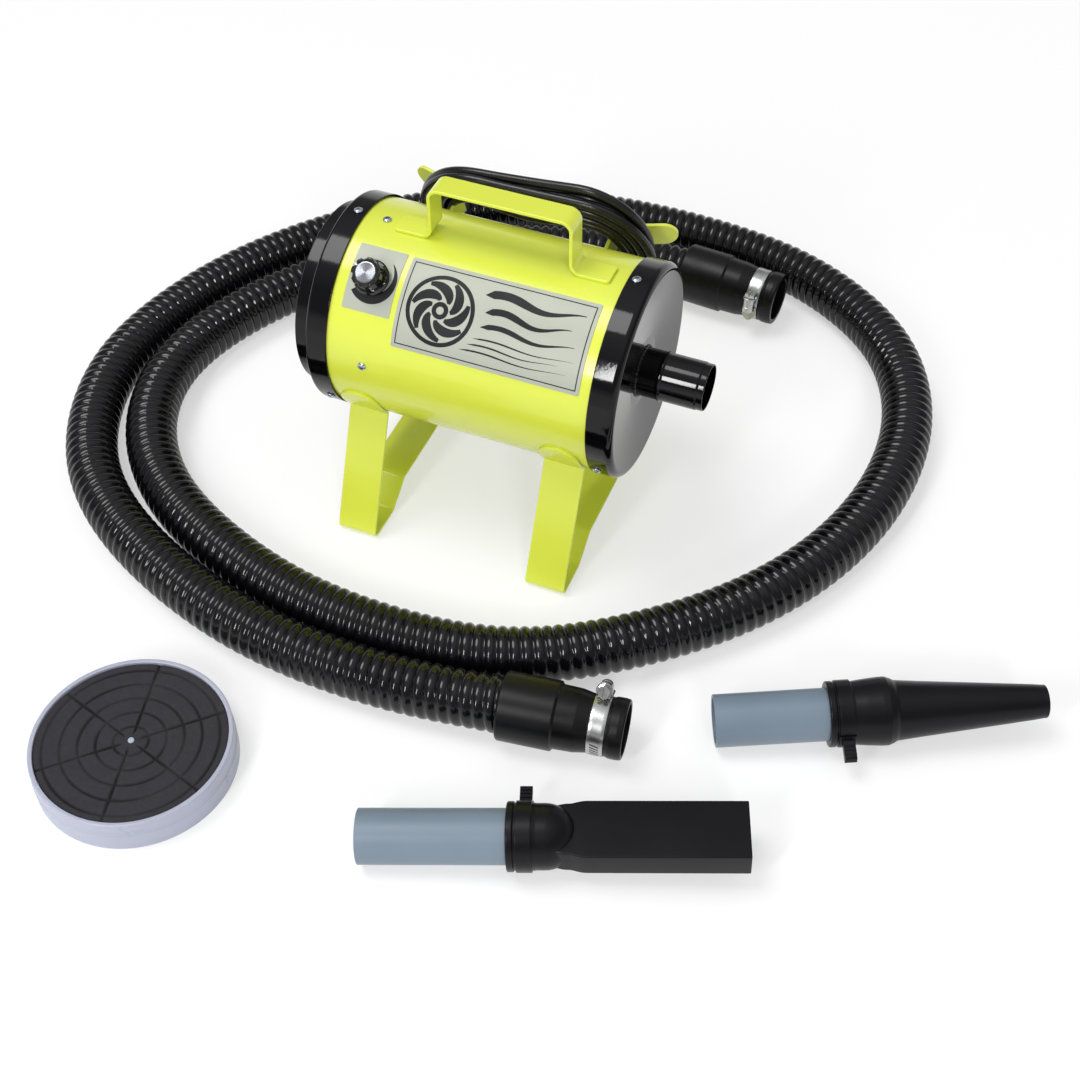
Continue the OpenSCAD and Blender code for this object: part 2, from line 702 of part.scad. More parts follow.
// Plates and speed control --------------------------------------------------------------------
module control_plate() color("silver") difference() {
    curved_plate(knob_x, knob_angle, control_plate_len, control_plate_angle, body_r + plate_gap, plate_t);
    at_front(knob_x, knob_angle) cylinder(r = bushing_r + screw_gap, h = 2 * body_r);
}
module name_plate() color("silver")
    curved_plate(name_plate_x, name_plate_a, name_plate_len, name_plate_angle, body_r + plate_gap, plate_t);

nut_z = body_r + plate_gap + plate_t;
knob_z = nut_z + knob_gap;
knob_top_z = nut_z + knob_h;
pot_z = bore_r - pot_drop;

module speed_knob() color("black") at_front(knob_x, knob_angle) difference() {
    rotate_extrude() polygon([[0, knob_z], [knob_flange_r, knob_z],
        [knob_flange_r, knob_z + flange_h * 0.5],
        [knob_flange_r - 1, knob_z + flange_h], [knob_top_r + 0.9, knob_z + flange_h + 0.6],
        [knob_top_r, knob_top_z - 1], [knob_top_r - 0.8, knob_top_z], [0, knob_top_z]]);
    for (i = [0:knob_flutes - 1]) rotate((i + 0.5) * 360 / knob_flutes)
        translate([knob_top_r + flute_out, 0, knob_z + flange_h + 0.6]) cylinder(r = flute_r, h = knob_h);
    translate([0, 0, knob_top_z - disc_t]) cylinder(r = knob_disc_r + seat, h = disc_t + 1);
    translate([0, 0, knob_z - 1]) cylinder(r = shaft_r + seat, h = knob_h - disc_t - knob_gap - 2);
}
module knob_disc() color("gainsboro") at_front(knob_x, knob_angle)
    translate([0, 0, knob_top_z - disc_t]) cylinder(r = knob_disc_r, h = disc_t + 0.3);
module control_shaft() color("silver") at_front(knob_x, knob_angle)
    translate([0, 0, pot_z - shaft_in])
        cylinder(r = shaft_r, h = knob_top_z - disc_t - 3.2 - pot_z + shaft_in);
module control_nut() color("silver") at_front(knob_x, knob_angle) translate([0, 0, nut_z]) difference() {
    cylinder(r = nut_r, h = nut_h, $fn = 6);
    translate([0, 0, -1]) cylinder(r = bushing_r + seat, h = nut_h + 2);
}
module speed_control() color("darkslategray") at_front(knob_x, knob_angle) difference() {
    union() {
        translate([0, 0, pot_z - pot_len]) cylinder(r = pot_r, h = pot_len);
        translate([0, 0, pot_z - 1]) cylinder(r = bushing_r, h = nut_z + nut_h + 0.5 - pot_z + 1);
    }
    translate([0, 0, pot_z - shaft_in - 0.5]) cylinder(r = shaft_r + run_gap, h = body_r);
}
module terminal_block() color("ivory") at_front(top_screw_x, 90) difference() {
    translate([0, 0, bore_r - 0.5 - block_size[2] / 2]) cube(block_size, center = true);
    cylinder(r = screw_r + seat, h = body_r);
    for (x = [-8, 8]) translate([x, -10, bore_r - block_size[2] / 2]) rotate([-90, 0, 0])
        cylinder(r = 2, h = 20);
}
module heat_sink() color("lightgray") at_front(side_screw_x, side_screw_a) difference() {
    top = bore_r - 1.1;
    union() {
        translate([0, 0, top - sink_size[2] / 2]) cube(sink_size, center = true);
        for (i = [0:sink_fins - 1])
            translate([(i - (sink_fins - 1) / 2) * (sink_size[0] - fin_t) / (sink_fins - 1), 0,
                       top - sink_size[2] - fin_h / 2 + 0.5])
            cube([fin_t, sink_size[1], fin_h + 1], center = true);
    }
    cylinder(r = screw_r + seat, h = body_r);
}

// Motor and fans ------------------------------------------------------------------------------
module bulkhead() color("lightgray") turned([[bulk_hole_r, bulk_x], [bulk_hole_r, bulk_x - bulk_t],
    [bore_r - bulk_gap - bulk_t, bulk_x - bulk_t], [bore_r - bulk_gap - bulk_t, bulk_x - bulk_skirt],
    [bore_r - bulk_gap, bulk_x - bulk_skirt], [bore_r - bulk_gap, bulk_x]]);
module motor_gasket() color("dimgray") on_axis(bulk_x) ring(fan_r, gasket_in_r, gasket_t);
module fan_casing() color("silver") turned([
    [eye_r, fan_x], [fan_r, fan_x], [fan_r, frame_x], [fan_r - fan_wall, frame_x],
    [fan_r - fan_wall, fan_x + fan_wall], [eye_r, fan_x + fan_wall]]);

// Two discs with slanted vanes between them, open at the eye on the near side
module impeller(x) on_axis(x) difference() {
    union() {
        ring(impeller_r, eye_r - 2, 1.2);
        translate([0, 0, impeller_w - 1.5]) cylinder(r = impeller_r, h = 1.5);
        translate([0, 0, impeller_w - 8]) cylinder(r = 10, h = 8);
        for (i = [0:vanes - 1]) rotate(i * 360 / vanes) translate([14, 6, 1]) rotate(28)
            cube([impeller_r - 20, 1.2, impeller_w - 2]);
    }
    translate([0, 0, -1]) cylinder(r = arm_shaft_r + 0.02, h = impeller_w + 2);
}
module impeller_first() color("silver") impeller(first_x);
module impeller_second() color("silver") impeller(second_x);
module fixed_vanes() color("gray") on_axis(fixed_x) difference() {
    union() {
        cylinder(r = fan_r - fan_wall - 0.2, h = 1.5);
        for (i = [0:vanes]) rotate(i * 360 / (vanes + 1)) translate([18, 0, 1.4]) rotate(-24)
            cube([fan_r - 28, 1.2, fixed_t - 1.4]);
    }
    translate([0, 0, -1]) cylinder(r = 14, h = fixed_t + 2);
    for (i = [0:9]) rotate(i * 36) translate([impeller_r - 5, 0, -1]) cylinder(r = 3.4, h = 4);
}
module fan_nut() color("goldenrod") on_axis(first_x + impeller_w - 8 - nut_len - 0.1) difference() {
    cylinder(r = 8, h = nut_len, $fn = 6);
    translate([0, 0, -1]) cylinder(r = arm_shaft_r + 0.02, h = nut_len + 2);
}
module motor_frame() color("gainsboro") on_axis(frame_x) difference() {
    union() {
        cylinder(r = fan_r, h = frame_t);
        cylinder(r = boss_r, h = frame_t + boss_len);
        ring(barrel_r, barrel_r - barrel_wall, frame_t + barrel_len + end_t);
        translate([0, 0, frame_t + barrel_len]) cylinder(r = barrel_r - 0.5, h = end_t);
        translate([0, 0, frame_t + barrel_len]) cylinder(r = bearing_b_r + 4, h = end_t + end_boss_len);
    }
    translate([0, 0, -1]) cylinder(r = arm_shaft_r + 1, h = 200);
    translate([0, 0, frame_t]) cylinder(r = bearing_a_r + press_gap, h = boss_len + 1);
    translate([0, 0, frame_t + barrel_len + end_t])
        cylinder(r = bearing_b_r + press_gap, h = end_boss_len + 1);
    for (i = [0:5]) rotate(30 + i * 60) {
        translate([36, 0, -1]) cylinder(r = 9, h = frame_t + 2);
        translate([33, 0, frame_t + barrel_len - 1]) cylinder(r = 9, h = end_t + 2);
    }
    for (i = [0:3]) rotate(45 + i * 90) translate([barrel_r - 6, -10, frame_t + 20]) cube([12, 20, 26]);
}
module field_core() color("dimgray") on_axis(core_x)
    ring(barrel_r - barrel_wall - 0.2, core_r + air_gap, core_len);
module field_coils() color("chocolate") for (x = [core_x - coil_t, core_x + core_len])
    on_axis(x) ring(barrel_r - barrel_wall - 6, core_r + 6, coil_t);
module armature_shaft() color("silver") {
    on_axis(first_x - 6) cylinder(r = arm_shaft_r, h = end_x - 2 - first_x + 6);
    on_axis(end_x - 3) cylinder(r = shaft_end_r, h = end_t + end_boss_len + 2);
}
module armature_core() color("dimgray") on_axis(core_x) ring(core_r, arm_shaft_r + 0.02, core_len);
module commutator() color("peru") on_axis(comm_x) ring(comm_r, arm_shaft_r + 0.02, comm_len);
module bearings() color("lightgray") {
    on_axis(frame_x + frame_t) ring(bearing_a_r, arm_shaft_r + run_gap, boss_len);
    on_axis(end_x + end_t) ring(bearing_b_r, shaft_end_r + run_gap, bearing_b_w);
}
module brush_holders() color("goldenrod") for (a = [0, 180]) at_front(brush_x, a) difference() {
    translate([-holder[0] / 2, -holder[1] / 2, comm_r + 3])
        cube([holder[0], holder[1], barrel_r - barrel_wall - 0.4 - comm_r - 3]);
    translate([-brush[0] / 2 - brush_gap, -brush[1] / 2 - brush_gap, 0])
        cube([brush[0] + 2 * brush_gap, brush[1] + 2 * brush_gap, barrel_r]);
}
module carbon_brushes() color("black") for (a = [0, 180]) at_front(brush_x, a)
    translate([-brush[0] / 2, -brush[1] / 2, comm_r + 0.3]) cube([brush[0], brush[1], 22]);
module motor_spider() color("lightgray") on_axis(spider_x) difference() {
    union() {
        cylinder(r = barrel_r + seat + spider_t, h = spider_w);
        intersection() {
            cylinder(r = bore_r - 0.2, h = spider_w);
            for (a = [0, 120, 240]) rotate(a) {
                translate([0, -spider_t / 2, -1]) cube([body_r, spider_t, spider_w + 2]);
                translate([bore_r - spider_t - 1, -14, -1]) cube([20, 28, spider_w + 2]);
            }
        }
    }
    translate([0, 0, -1]) cylinder(r = barrel_r + seat, h = spider_w + 2);
}
module acoustic_foam() color("dimgray") on_axis(foam_x) ring(bore_r - 0.3, bore_r - foam_t, foam_len);

// Hose, cuffs and clamps ----------------------------------------------------------------------
module hose() color("black") swept(HOSE, hose_r, HOSE_SIDES, [0, 0, 1]);

// Places a child at a cuff's hose end, Z towards its open end, Y up
module at_cuff(inner, mouth) {
    heading = atan2(inner[1] - mouth[1], inner[0] - mouth[0]);
    translate(mouth) rotate([0, 0, heading]) rotate([90, 0, 90]) children();
}
module at_tool_cuff() at_cuff(HOSE[0], HOSE[1]) children();
module at_machine_cuff() at_cuff(HOSE[len(HOSE) - 1], HOSE[len(HOSE) - 2]) children();

// A cuff: a wide bore for the hose and a narrow bore for the tube it fits
module cuff(wide_d, narrow_bore, wall) {
    w = wide_d / 2;
    n = narrow_bore + wall;
    c0 = clamp_s - band_w / 2 - clamp_seat;
    c1 = clamp_s + band_w / 2 + clamp_seat;
    rotate_extrude() polygon(concat([[hose_r + cuff_gap, 0]],
        arc([w - cuff_edge, cuff_edge], cuff_edge, -90, 0, 4),
        [[w, cuff_wide_len - cuff_step], [n + 1.4, cuff_wide_len], [n + 0.8, c0 - 6],
         [n - 1, c0], [n - 1, c1], [n, c1 + 3]],
        arc([n - 1.6, cuff_len - 1.6], 1.6, 0, 90, 4),
        [[narrow_bore, cuff_len], [narrow_bore, hose_seat + 2], [hose_r - 3, hose_seat + 0.2],
         [hose_r + cuff_gap, hose_seat + 0.2]]));
}
module tool_cuff() color("black") at_tool_cuff()
    cuff(tool_cuff_d, tool_bore_r, tool_cuff_wall);
module machine_cuff() color("black") at_machine_cuff()
    cuff(machine_cuff_d, machine_bore_r, machine_cuff_wall);

// A worm-drive band clamp about a seat radius, its screw across the top
module clamp(r_seat) {
    r = r_seat + seat;
    out = r + band_t;
    translate([0, 0, clamp_s - band_w / 2]) ring(out, r, band_w);
    difference() {
        union() {
            translate([-worm_len / 2, out - 0.4, clamp_s - band_w / 2 + 1])
                cube([worm_len, worm_h + 0.4, band_w - 2]);
            translate([-worm_len / 2, out + worm_h, clamp_s]) rotate([0, 90, 0])
                cylinder(r = band_w / 2 - 1, h = worm_len);
        }
        translate([0, 0, clamp_s - band_w]) cylinder(r = r, h = 2 * band_w);
        translate([-worm_len, out + worm_h, clamp_s]) rotate([0, 90, 0])
            cylinder(r = worm_r + worm_gap, h = 2 * worm_len);
    }
}
module clamp_screw(r_seat, s)
    translate([s * (worm_len / 2 + 0.4), r_seat + seat + band_t + worm_h, clamp_s])
    rotate([0, s * 90, 0]) {
    difference() {
        union() {
            translate([0, 0, -worm_len - 2]) cylinder(r = worm_r, h = worm_len + 2.5);
            cylinder(r = worm_flange_r, h = worm_flange_t);
            cylinder(r = worm_head_r, h = worm_flange_t + worm_head_h, $fn = 6);
        }
        translate([-0.7, -worm_flange_r, worm_flange_t + worm_head_h - 1.8])
            cube([1.4, 2 * worm_flange_r, 3]);
    }
}
tool_seat_r = tool_bore_r + tool_cuff_wall - 1;
machine_seat_r = machine_bore_r + machine_cuff_wall - 1;
module tool_clamp() color("silver") at_tool_cuff() rotate(tool_clamp_turn) clamp(tool_seat_r);
module tool_clamp_screw() color("gainsboro") at_tool_cuff() rotate(tool_clamp_turn)
    clamp_screw(tool_seat_r, -1);
module machine_clamp() color("silver") at_machine_cuff() rotate(machine_clamp_turn) clamp(machine_seat_r);
module machine_clamp_screw() color("gainsboro") at_machine_cuff() rotate(machine_clamp_turn)
    clamp_screw(machine_seat_r, 1);

// Filter cap ----------------------------------------------------------------------------------
module at_filter() translate([filter_pos[0], filter_pos[1], 0]) children();
foam_z = filter_h - foam_drop - foam_pad_t;
module filter_cap() color("lavender") at_filter() {
    rotate_extrude() polygon([[filter_in_r, 0], [filter_r, 0], [filter_r, filter_h * 0.55],
        [filter_r - 0.8, filter_h * 0.62], [filter_r - 0.8, filter_h - 1], [filter_r - 1.4, filter_h],
        [filter_top_in_r, filter_h], [filter_top_in_r, foam_z], [filter_top_in_r, foam_z - grid_t],
        [filter_in_r, foam_z - grid_t]]);
    translate([0, 0, foam_z - grid_t]) linear_extrude(grid_t) {
        for (i = [1:grid_rings]) difference() {
            r = i * filter_top_in_r / (grid_rings + 0.5) + grid_bar / 2;
            circle(r);
            circle(r - grid_bar);
        }
        difference() {
            union() {
                circle(pin_r + 4);
                for (i = [0:grid_spokes - 1]) rotate(44 + i * 360 / grid_spokes)
                    translate([0, -grid_bar / 2]) square([filter_top_in_r + 1, grid_bar]);
            }
            circle(pin_r + pin_gap);
        }
    }
}
module filter_foam() color("darkslategray") at_filter()
    translate([0, 0, foam_z + seat]) ring(filter_top_in_r - foam_gap, pin_r + pin_gap, foam_pad_t);
module filter_pin() color("white") at_filter() {
    translate([0, 0, foam_z - grid_t - 1]) cylinder(r = pin_r, h = foam_pad_t + grid_t + 2);
    translate([0, 0, foam_z - grid_t - 2]) cylinder(r = pin_r + 1.6, h = 1.8);
}

// Nozzles -------------------------------------------------------------------------------------
// A nozzle lies on its tube's end and on its rubber strap, so its axis rises along it
module at_nozzle(pos, heading, rest_s) {
    rise = asin((strap_r - tube_r) / rest_s);
    translate([pos[0], pos[1], tube_r * cos(rise)]) rotate([0, 0, heading]) rotate([0, 90 - rise, 0])
        rotate(90) children();
}
module at_cone() at_nozzle(cone_pos, cone_heading, cone_tube_len + strap_s) children();
module at_flat() at_nozzle(flat_pos, flat_heading, flat_tube_len + strap_s) children();

module grip_tube(length) ring(tube_r, tube_r - tube_wall, length + tube_seat);
module cone_tube() color("slategray") at_cone() grip_tube(cone_tube_len);
module flat_tube() color("slategray") at_flat() grip_tube(flat_tube_len);

module cone_nozzle() color("black") at_cone() translate([0, 0, cone_tube_len]) {
    bore = tube_r + seat_gap;
    wide = cone_cuff_len - 6;
    end = cone_cuff_len + cone_len;
    tip_r = cone_tip_d / 2;
    rotate_extrude() polygon([[bore, 0], [cuff_r + lip_h - 0.5, 0], [cuff_r + lip_h, 0.6],
        [cuff_r + lip_h, lip_len - 0.5], [cuff_r, lip_len], [cuff_r, strap_s + strap_w + 1],
        [body_ring_r - 0.6, wide - 8], [body_ring_r, wide - 3], [body_ring_r - 0.7, wide],
        [cone_root_r + 1.2, cone_cuff_len - 1.5], [cone_root_r, cone_cuff_len + 3],
        [cone_root_r - 3, cone_cuff_len + cone_len * 0.3], [tip_r + 0.6, end - 8], [tip_r, end - 1],
        [tip_r - 1, end], [tip_r - rubber_wall + 0.6, end], [tip_r - rubber_wall + 0.6, end - 8],
        [cone_root_r - rubber_wall, cone_cuff_len],
        [bore - 2, tube_seat + 4], [bore - 2, tube_seat + 0.1], [bore, tube_seat + 0.1]]);
}

// The round cuff, domed end and flat head of the wide nozzle
module flat_nozzle() color("black") at_flat() translate([0, 0, flat_tube_len]) difference() {
    bore = tube_r + seat_gap;
    dome_z = flat_cuff_len - dome_r;
    union() {
        rotate_extrude() polygon([[0, 0], [cuff_r + lip_h - 0.5, 0], [cuff_r + lip_h, 0.6],
            [cuff_r + lip_h, lip_len - 0.5], [cuff_r, lip_len], [cuff_r, strap_s + strap_w + 1],
            [dome_r, strap_s + strap_w + 4], [dome_r, dome_z], [0, dome_z]]);
        translate([0, 0, dome_z]) sphere(r = dome_r);
        flat_head(flat_w, flat_h, flat_len, 0);
    }
    translate([0, 0, -1]) cylinder(r = bore, h = tube_seat + 1.1);
    translate([0, 0, dome_z]) sphere(r = dome_r - rubber_wall);
    flat_head(flat_w - 2 * flat_wall, flat_h - 2 * flat_wall, flat_len + 2, flat_wall);
}
// Outline of the flat head: a waist at the dome that flares to straight sides
module flat_head(w, h, length, in) {
    z0 = flat_cuff_len - neck_back;
    waist = cuff_r - 3.2 - in;
    translate([0, -h / 2, 0]) rotate([-90, 0, 0]) linear_extrude(h) polygon([
        [-waist + 4, -z0 + 14], [-waist, -z0 - 2], [-waist - 0.3, -z0 - 5],
        [-w / 2 + 1.4, -z0 - 12], [-w / 2, -z0 - 20], [-w / 2, -flat_cuff_len - length],
        [w / 2, -flat_cuff_len - length], [w / 2, -z0 - 20], [w / 2 - 1.4, -z0 - 12],
        [waist + 0.3, -z0 - 5], [waist, -z0 - 2], [waist - 4, -z0 + 14]]);
}

// A rubber strap about a nozzle's cuff, with a pull tab at angle a
module pull_strap(start, a) translate([0, 0, start + strap_s]) rotate(a) difference() {
    union() {
        cylinder(r = strap_r, h = strap_w);
        translate([cuff_r - 1, -tab_size[1] / 2, (strap_w - tab_size[0]) / 2])
            cube([tab_len + 1, tab_size[1], tab_size[0]]);
        translate([cuff_r - 1, -tab_size[1] / 2 - 2, 0]) cube([strap_t + 3, tab_size[1] + 4, strap_w]);
    }
    translate([0, 0, -1]) cylinder(r = cuff_r + seat, h = strap_w + 2);
}
module cone_strap() color("black") at_cone() pull_strap(cone_tube_len, 180);
module flat_strap() color("black") at_flat() pull_strap(flat_tube_len, 0);

// Power cord ----------------------------------------------------------------------------------
module strain_relief() color("black") at_back(gland_x, gland_angle) rotate_extrude() polygon([
    [0, body_r - 1], [cord_d / 2 + 0.8, body_r - 1], [cord_d / 2 + 0.8, body_r + 0.6],
    [gland_r, body_r + 0.6], [gland_r, body_r + gland_t], [boot_r, body_r + gland_t + 0.6],
    [boot_end_r, body_r + boot_len], [0, body_r + boot_len]]);
module cord_lead() color("black") swept(LEAD, cord_d / 2, CORD_SIDES, [1, 0, 0]);
module cord_tail() color("black") swept(TAIL, cord_d / 2, CORD_SIDES, [0, 1, 0]);

// The outer shape of the winding: a flat ring with round ends that hangs on the cleat's posts
module cord_hank() color("black") at_back(hank_x, cleat_angle)
    translate([0, hank_drop, hank_r - hank_t / 2]) linear_extrude(hank_t) difference() {
        stadium(hank_len, hank_w);
        offset_box(hank_hole[0], hank_hole[1], hank_bend);
    }
module offset_box(l, w, r) polygon(concat(
    arc([l / 2 - r, w / 2 - r], r, 0, 90), arc([r - l / 2, w / 2 - r], r, 90, 180),
    arc([r - l / 2, r - w / 2], r, 180, 270), arc([l / 2 - r, r - w / 2], r, 270, 360)));
module stadium(l, w) polygon(concat(arc([(l - w) / 2, 0], w / 2, -90, 90, 20),
    arc([(w - l) / 2, 0], w / 2, 90, 270, 20)));

module at_plug() translate(TAIL[len(TAIL) - 1]) rotate([180, 0, 0]) children();
module plug_body() color("black") at_plug() difference() {
    union() {
        cylinder(r1 = cord_d / 2 + 1.5, r2 = cord_d / 2 + 3, h = 12);
        translate([0, 0, plug_len / 2 + 4]) cube([plug_w, plug_w - 4, plug_len - 8], center = true);
    }
    blade_shapes(seat);
}
module plug_blades() color("silver") at_plug() blade_shapes(0);
// Two flat blades and a round earth pin, each let into the plug's face
module blade_shapes(gap) {
    for (s = [-1, 1]) translate([s * blade_gap / 2, 3, plug_len + (blade[2] - blade_in) / 2])
        cube([blade[0] + 2 * gap, blade[1] + 2 * gap, blade[2] + blade_in], center = true);
    translate([0, -6, plug_len - blade_in]) cylinder(r = ground_r + gap, h = ground_len + blade_in);
}

housing_tube();
front_cap();
outlet_tube();
rear_cap();
intake_grille();
cap_screws();
body_screws();
handle();
front_stand();
rear_stand();
cord_cleat();
control_plate();
name_plate();
speed_knob();
knob_disc();
control_shaft();
control_nut();
speed_control();
terminal_block();
heat_sink();
bulkhead();
motor_gasket();
fan_casing();
impeller_first();
impeller_second();
fixed_vanes();
fan_nut();
motor_frame();
field_core();
field_coils();
armature_shaft();
armature_core();
commutator();
bearings();
brush_holders();
carbon_brushes();
motor_spider();
acoustic_foam();
hose();
tool_cuff();
machine_cuff();
tool_clamp();
machine_clamp();
tool_clamp_screw();
machine_clamp_screw();
filter_cap();
filter_foam();
filter_pin();
cone_tube();
cone_nozzle();
cone_strap();
flat_tube();
flat_nozzle();
flat_strap();
strain_relief();
cord_lead();
cord_hank();
cord_tail();
plug_body();
plug_blades();
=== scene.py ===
import math
import bmesh
import bpy
import numpy as np
from mathutils import Euler, Matrix


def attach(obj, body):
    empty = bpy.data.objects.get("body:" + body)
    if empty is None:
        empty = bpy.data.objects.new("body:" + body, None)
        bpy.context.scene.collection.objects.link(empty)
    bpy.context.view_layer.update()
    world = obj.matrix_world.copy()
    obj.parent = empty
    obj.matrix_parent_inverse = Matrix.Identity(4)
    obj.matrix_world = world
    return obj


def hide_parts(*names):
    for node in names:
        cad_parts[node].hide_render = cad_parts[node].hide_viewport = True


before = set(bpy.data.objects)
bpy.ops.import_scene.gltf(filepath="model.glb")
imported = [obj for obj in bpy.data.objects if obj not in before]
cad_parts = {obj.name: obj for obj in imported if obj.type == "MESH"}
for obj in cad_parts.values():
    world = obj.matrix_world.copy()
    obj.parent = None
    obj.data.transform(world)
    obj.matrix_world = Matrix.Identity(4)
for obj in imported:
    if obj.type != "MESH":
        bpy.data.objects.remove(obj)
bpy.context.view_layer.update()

# Camera: it stands above the front right corner of the dryer and looks down at the housing, the
# hose round it and the loose pieces in front.
def new_object(name, data):
    """An object of the scene, made of its data."""
    item = bpy.data.objects.new(name, data)
    bpy.context.scene.collection.objects.link(item)
    return item


camera = new_object("camera", bpy.data.cameras.new("camera"))
camera.data.sensor_width = 36.0
camera.data.lens = 53.67
camera.data.clip_start = 0.05
camera.matrix_world = (Matrix.Translation((0.4254, -0.9529, 1.0625))
                       @ Euler((math.radians(42.27), 0, math.radians(22.08))).to_matrix().to_4x4()
                       @ Matrix.Rotation(math.radians(-0.15), 4, "Z"))
bpy.context.scene.camera = camera


# Housing tube: a rolled and seam-welded steel tube, sprayed with a thick yellow-green enamel. It is
# the solid's own shape, with the faint orange peel and the uneven gloss of sprayed paint.
def srgb(red, green, blue):
    """A paint colour given from 0 to 255, as the linear colour that a shader takes."""
    return tuple((v / 255 / 12.92) if v <= 10 else ((v / 255 + 0.055) / 1.055) ** 2.4
                 for v in (red, green, blue)) + (1.0,)


def tone_and_grain():
    """Uneven tone and gloss in large patches, and a fine grain, for every finish on the dryer."""
    group = bpy.data.node_groups.new("tone and grain", "ShaderNodeTree")
    for label, kind, value in (("Dark", "NodeSocketColor", (0, 0, 0, 1)),
                               ("Light", "NodeSocketColor", (1, 1, 1, 1)),
                               ("Patch Scale", "NodeSocketFloat", 20.0),
                               ("Grain Scale", "NodeSocketFloat", 900.0),
                               ("Smooth", "NodeSocketFloat", 0.2), ("Rough", "NodeSocketFloat", 0.3)):
        group.interface.new_socket(label, in_out="INPUT", socket_type=kind).default_value = value
    for label, kind in (("Color", "NodeSocketColor"), ("Roughness", "NodeSocketFloat"),
                        ("Height", "NodeSocketFloat")):
        group.interface.new_socket(label, in_out="OUTPUT", socket_type=kind)
    n, link = group.nodes, group.links.new
    start, end = n.new("NodeGroupInput"), n.new("NodeGroupOutput")
    place = n.new("ShaderNodeTexCoord")
    patch, grain = n.new("ShaderNodeTexNoise"), n.new("ShaderNodeTexNoise")
    patch.inputs["Detail"].default_value = 5.0
    grain.inputs["Detail"].default_value = 3.0
    mix = n.new("ShaderNodeMix")
    mix.data_type = "RGBA"
    gloss = n.new("ShaderNodeMapRange")
    gloss.inputs["From Min"].default_value, gloss.inputs["From Max"].default_value = 0.3, 0.7
    link(place.outputs["Object"], patch.inputs["Vector"])
    link(place.outputs["Object"], grain.inputs["Vector"])
    link(start.outputs["Patch Scale"], patch.inputs["Scale"])
    link(start.outputs["Grain Scale"], grain.inputs["Scale"])
    link(patch.outputs["Fac"], mix.inputs["Factor"])
    link(start.outputs["Dark"], mix.inputs["A"])
    link(start.outputs["Light"], mix.inputs["B"])
    link(patch.outputs["Fac"], gloss.inputs["Value"])
    link(start.outputs["Smooth"], gloss.inputs["To Min"])
    link(start.outputs["Rough"], gloss.inputs["To Max"])
    link(mix.outputs["Result"], end.inputs["Color"])
    link(gloss.outputs["Result"], end.inputs["Roughness"])
    link(grain.outputs["Fac"], end.inputs["Height"])
    return group


TONE_AND_GRAIN = tone_and_grain()


def finish(name, dark, light, rough, patch=20.0, grain=900.0, bump=0.0, **shader):
    """A finish: its two tones, its range of roughness, and the depth in mm of its grain."""
    material = bpy.data.materials.new(name)
    material.use_nodes = True
    n, link = material.node_tree.nodes, material.node_tree.links.new
    principled = n["Principled BSDF"]
    group = n.new("ShaderNodeGroup")
    group.name = "tone and grain"
    group.node_tree = TONE_AND_GRAIN
    group.inputs["Dark"].default_value, group.inputs["Light"].default_value = srgb(*dark), srgb(*light)
    group.inputs["Patch Scale"].default_value, group.inputs["Grain Scale"].default_value = patch, grain
    group.inputs["Smooth"].default_value, group.inputs["Rough"].default_value = rough
    link(group.outputs["Color"], principled.inputs["Base Color"])
    link(group.outputs["Roughness"], principled.inputs["Roughness"])
    if bump:
        relief = n.new("ShaderNodeBump")
        relief.name = "relief"
        relief.inputs["Distance"].default_value = bump * 0.001
        link(group.outputs["Height"], relief.inputs["Height"])
        link(relief.outputs["Normal"], principled.inputs["Normal"])
    for label, value in shader.items():
        principled.inputs[label.replace("_", " ")].default_value = value
    return material


def dress(material, *nodes):
    """Gives the finish to solids whose own shape is right."""
    for name in nodes:
        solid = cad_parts[name]
        solid.data.materials.clear()
        solid.data.materials.append(material)


yellow_enamel = finish("yellow enamel", (210, 220, 66), (219, 229, 80), (0.18, 0.28), patch=9, grain=420,
                       bump=0.025, Coat_Weight=0.2, Coat_Roughness=0.08)
dress(yellow_enamel, "housing_tube")


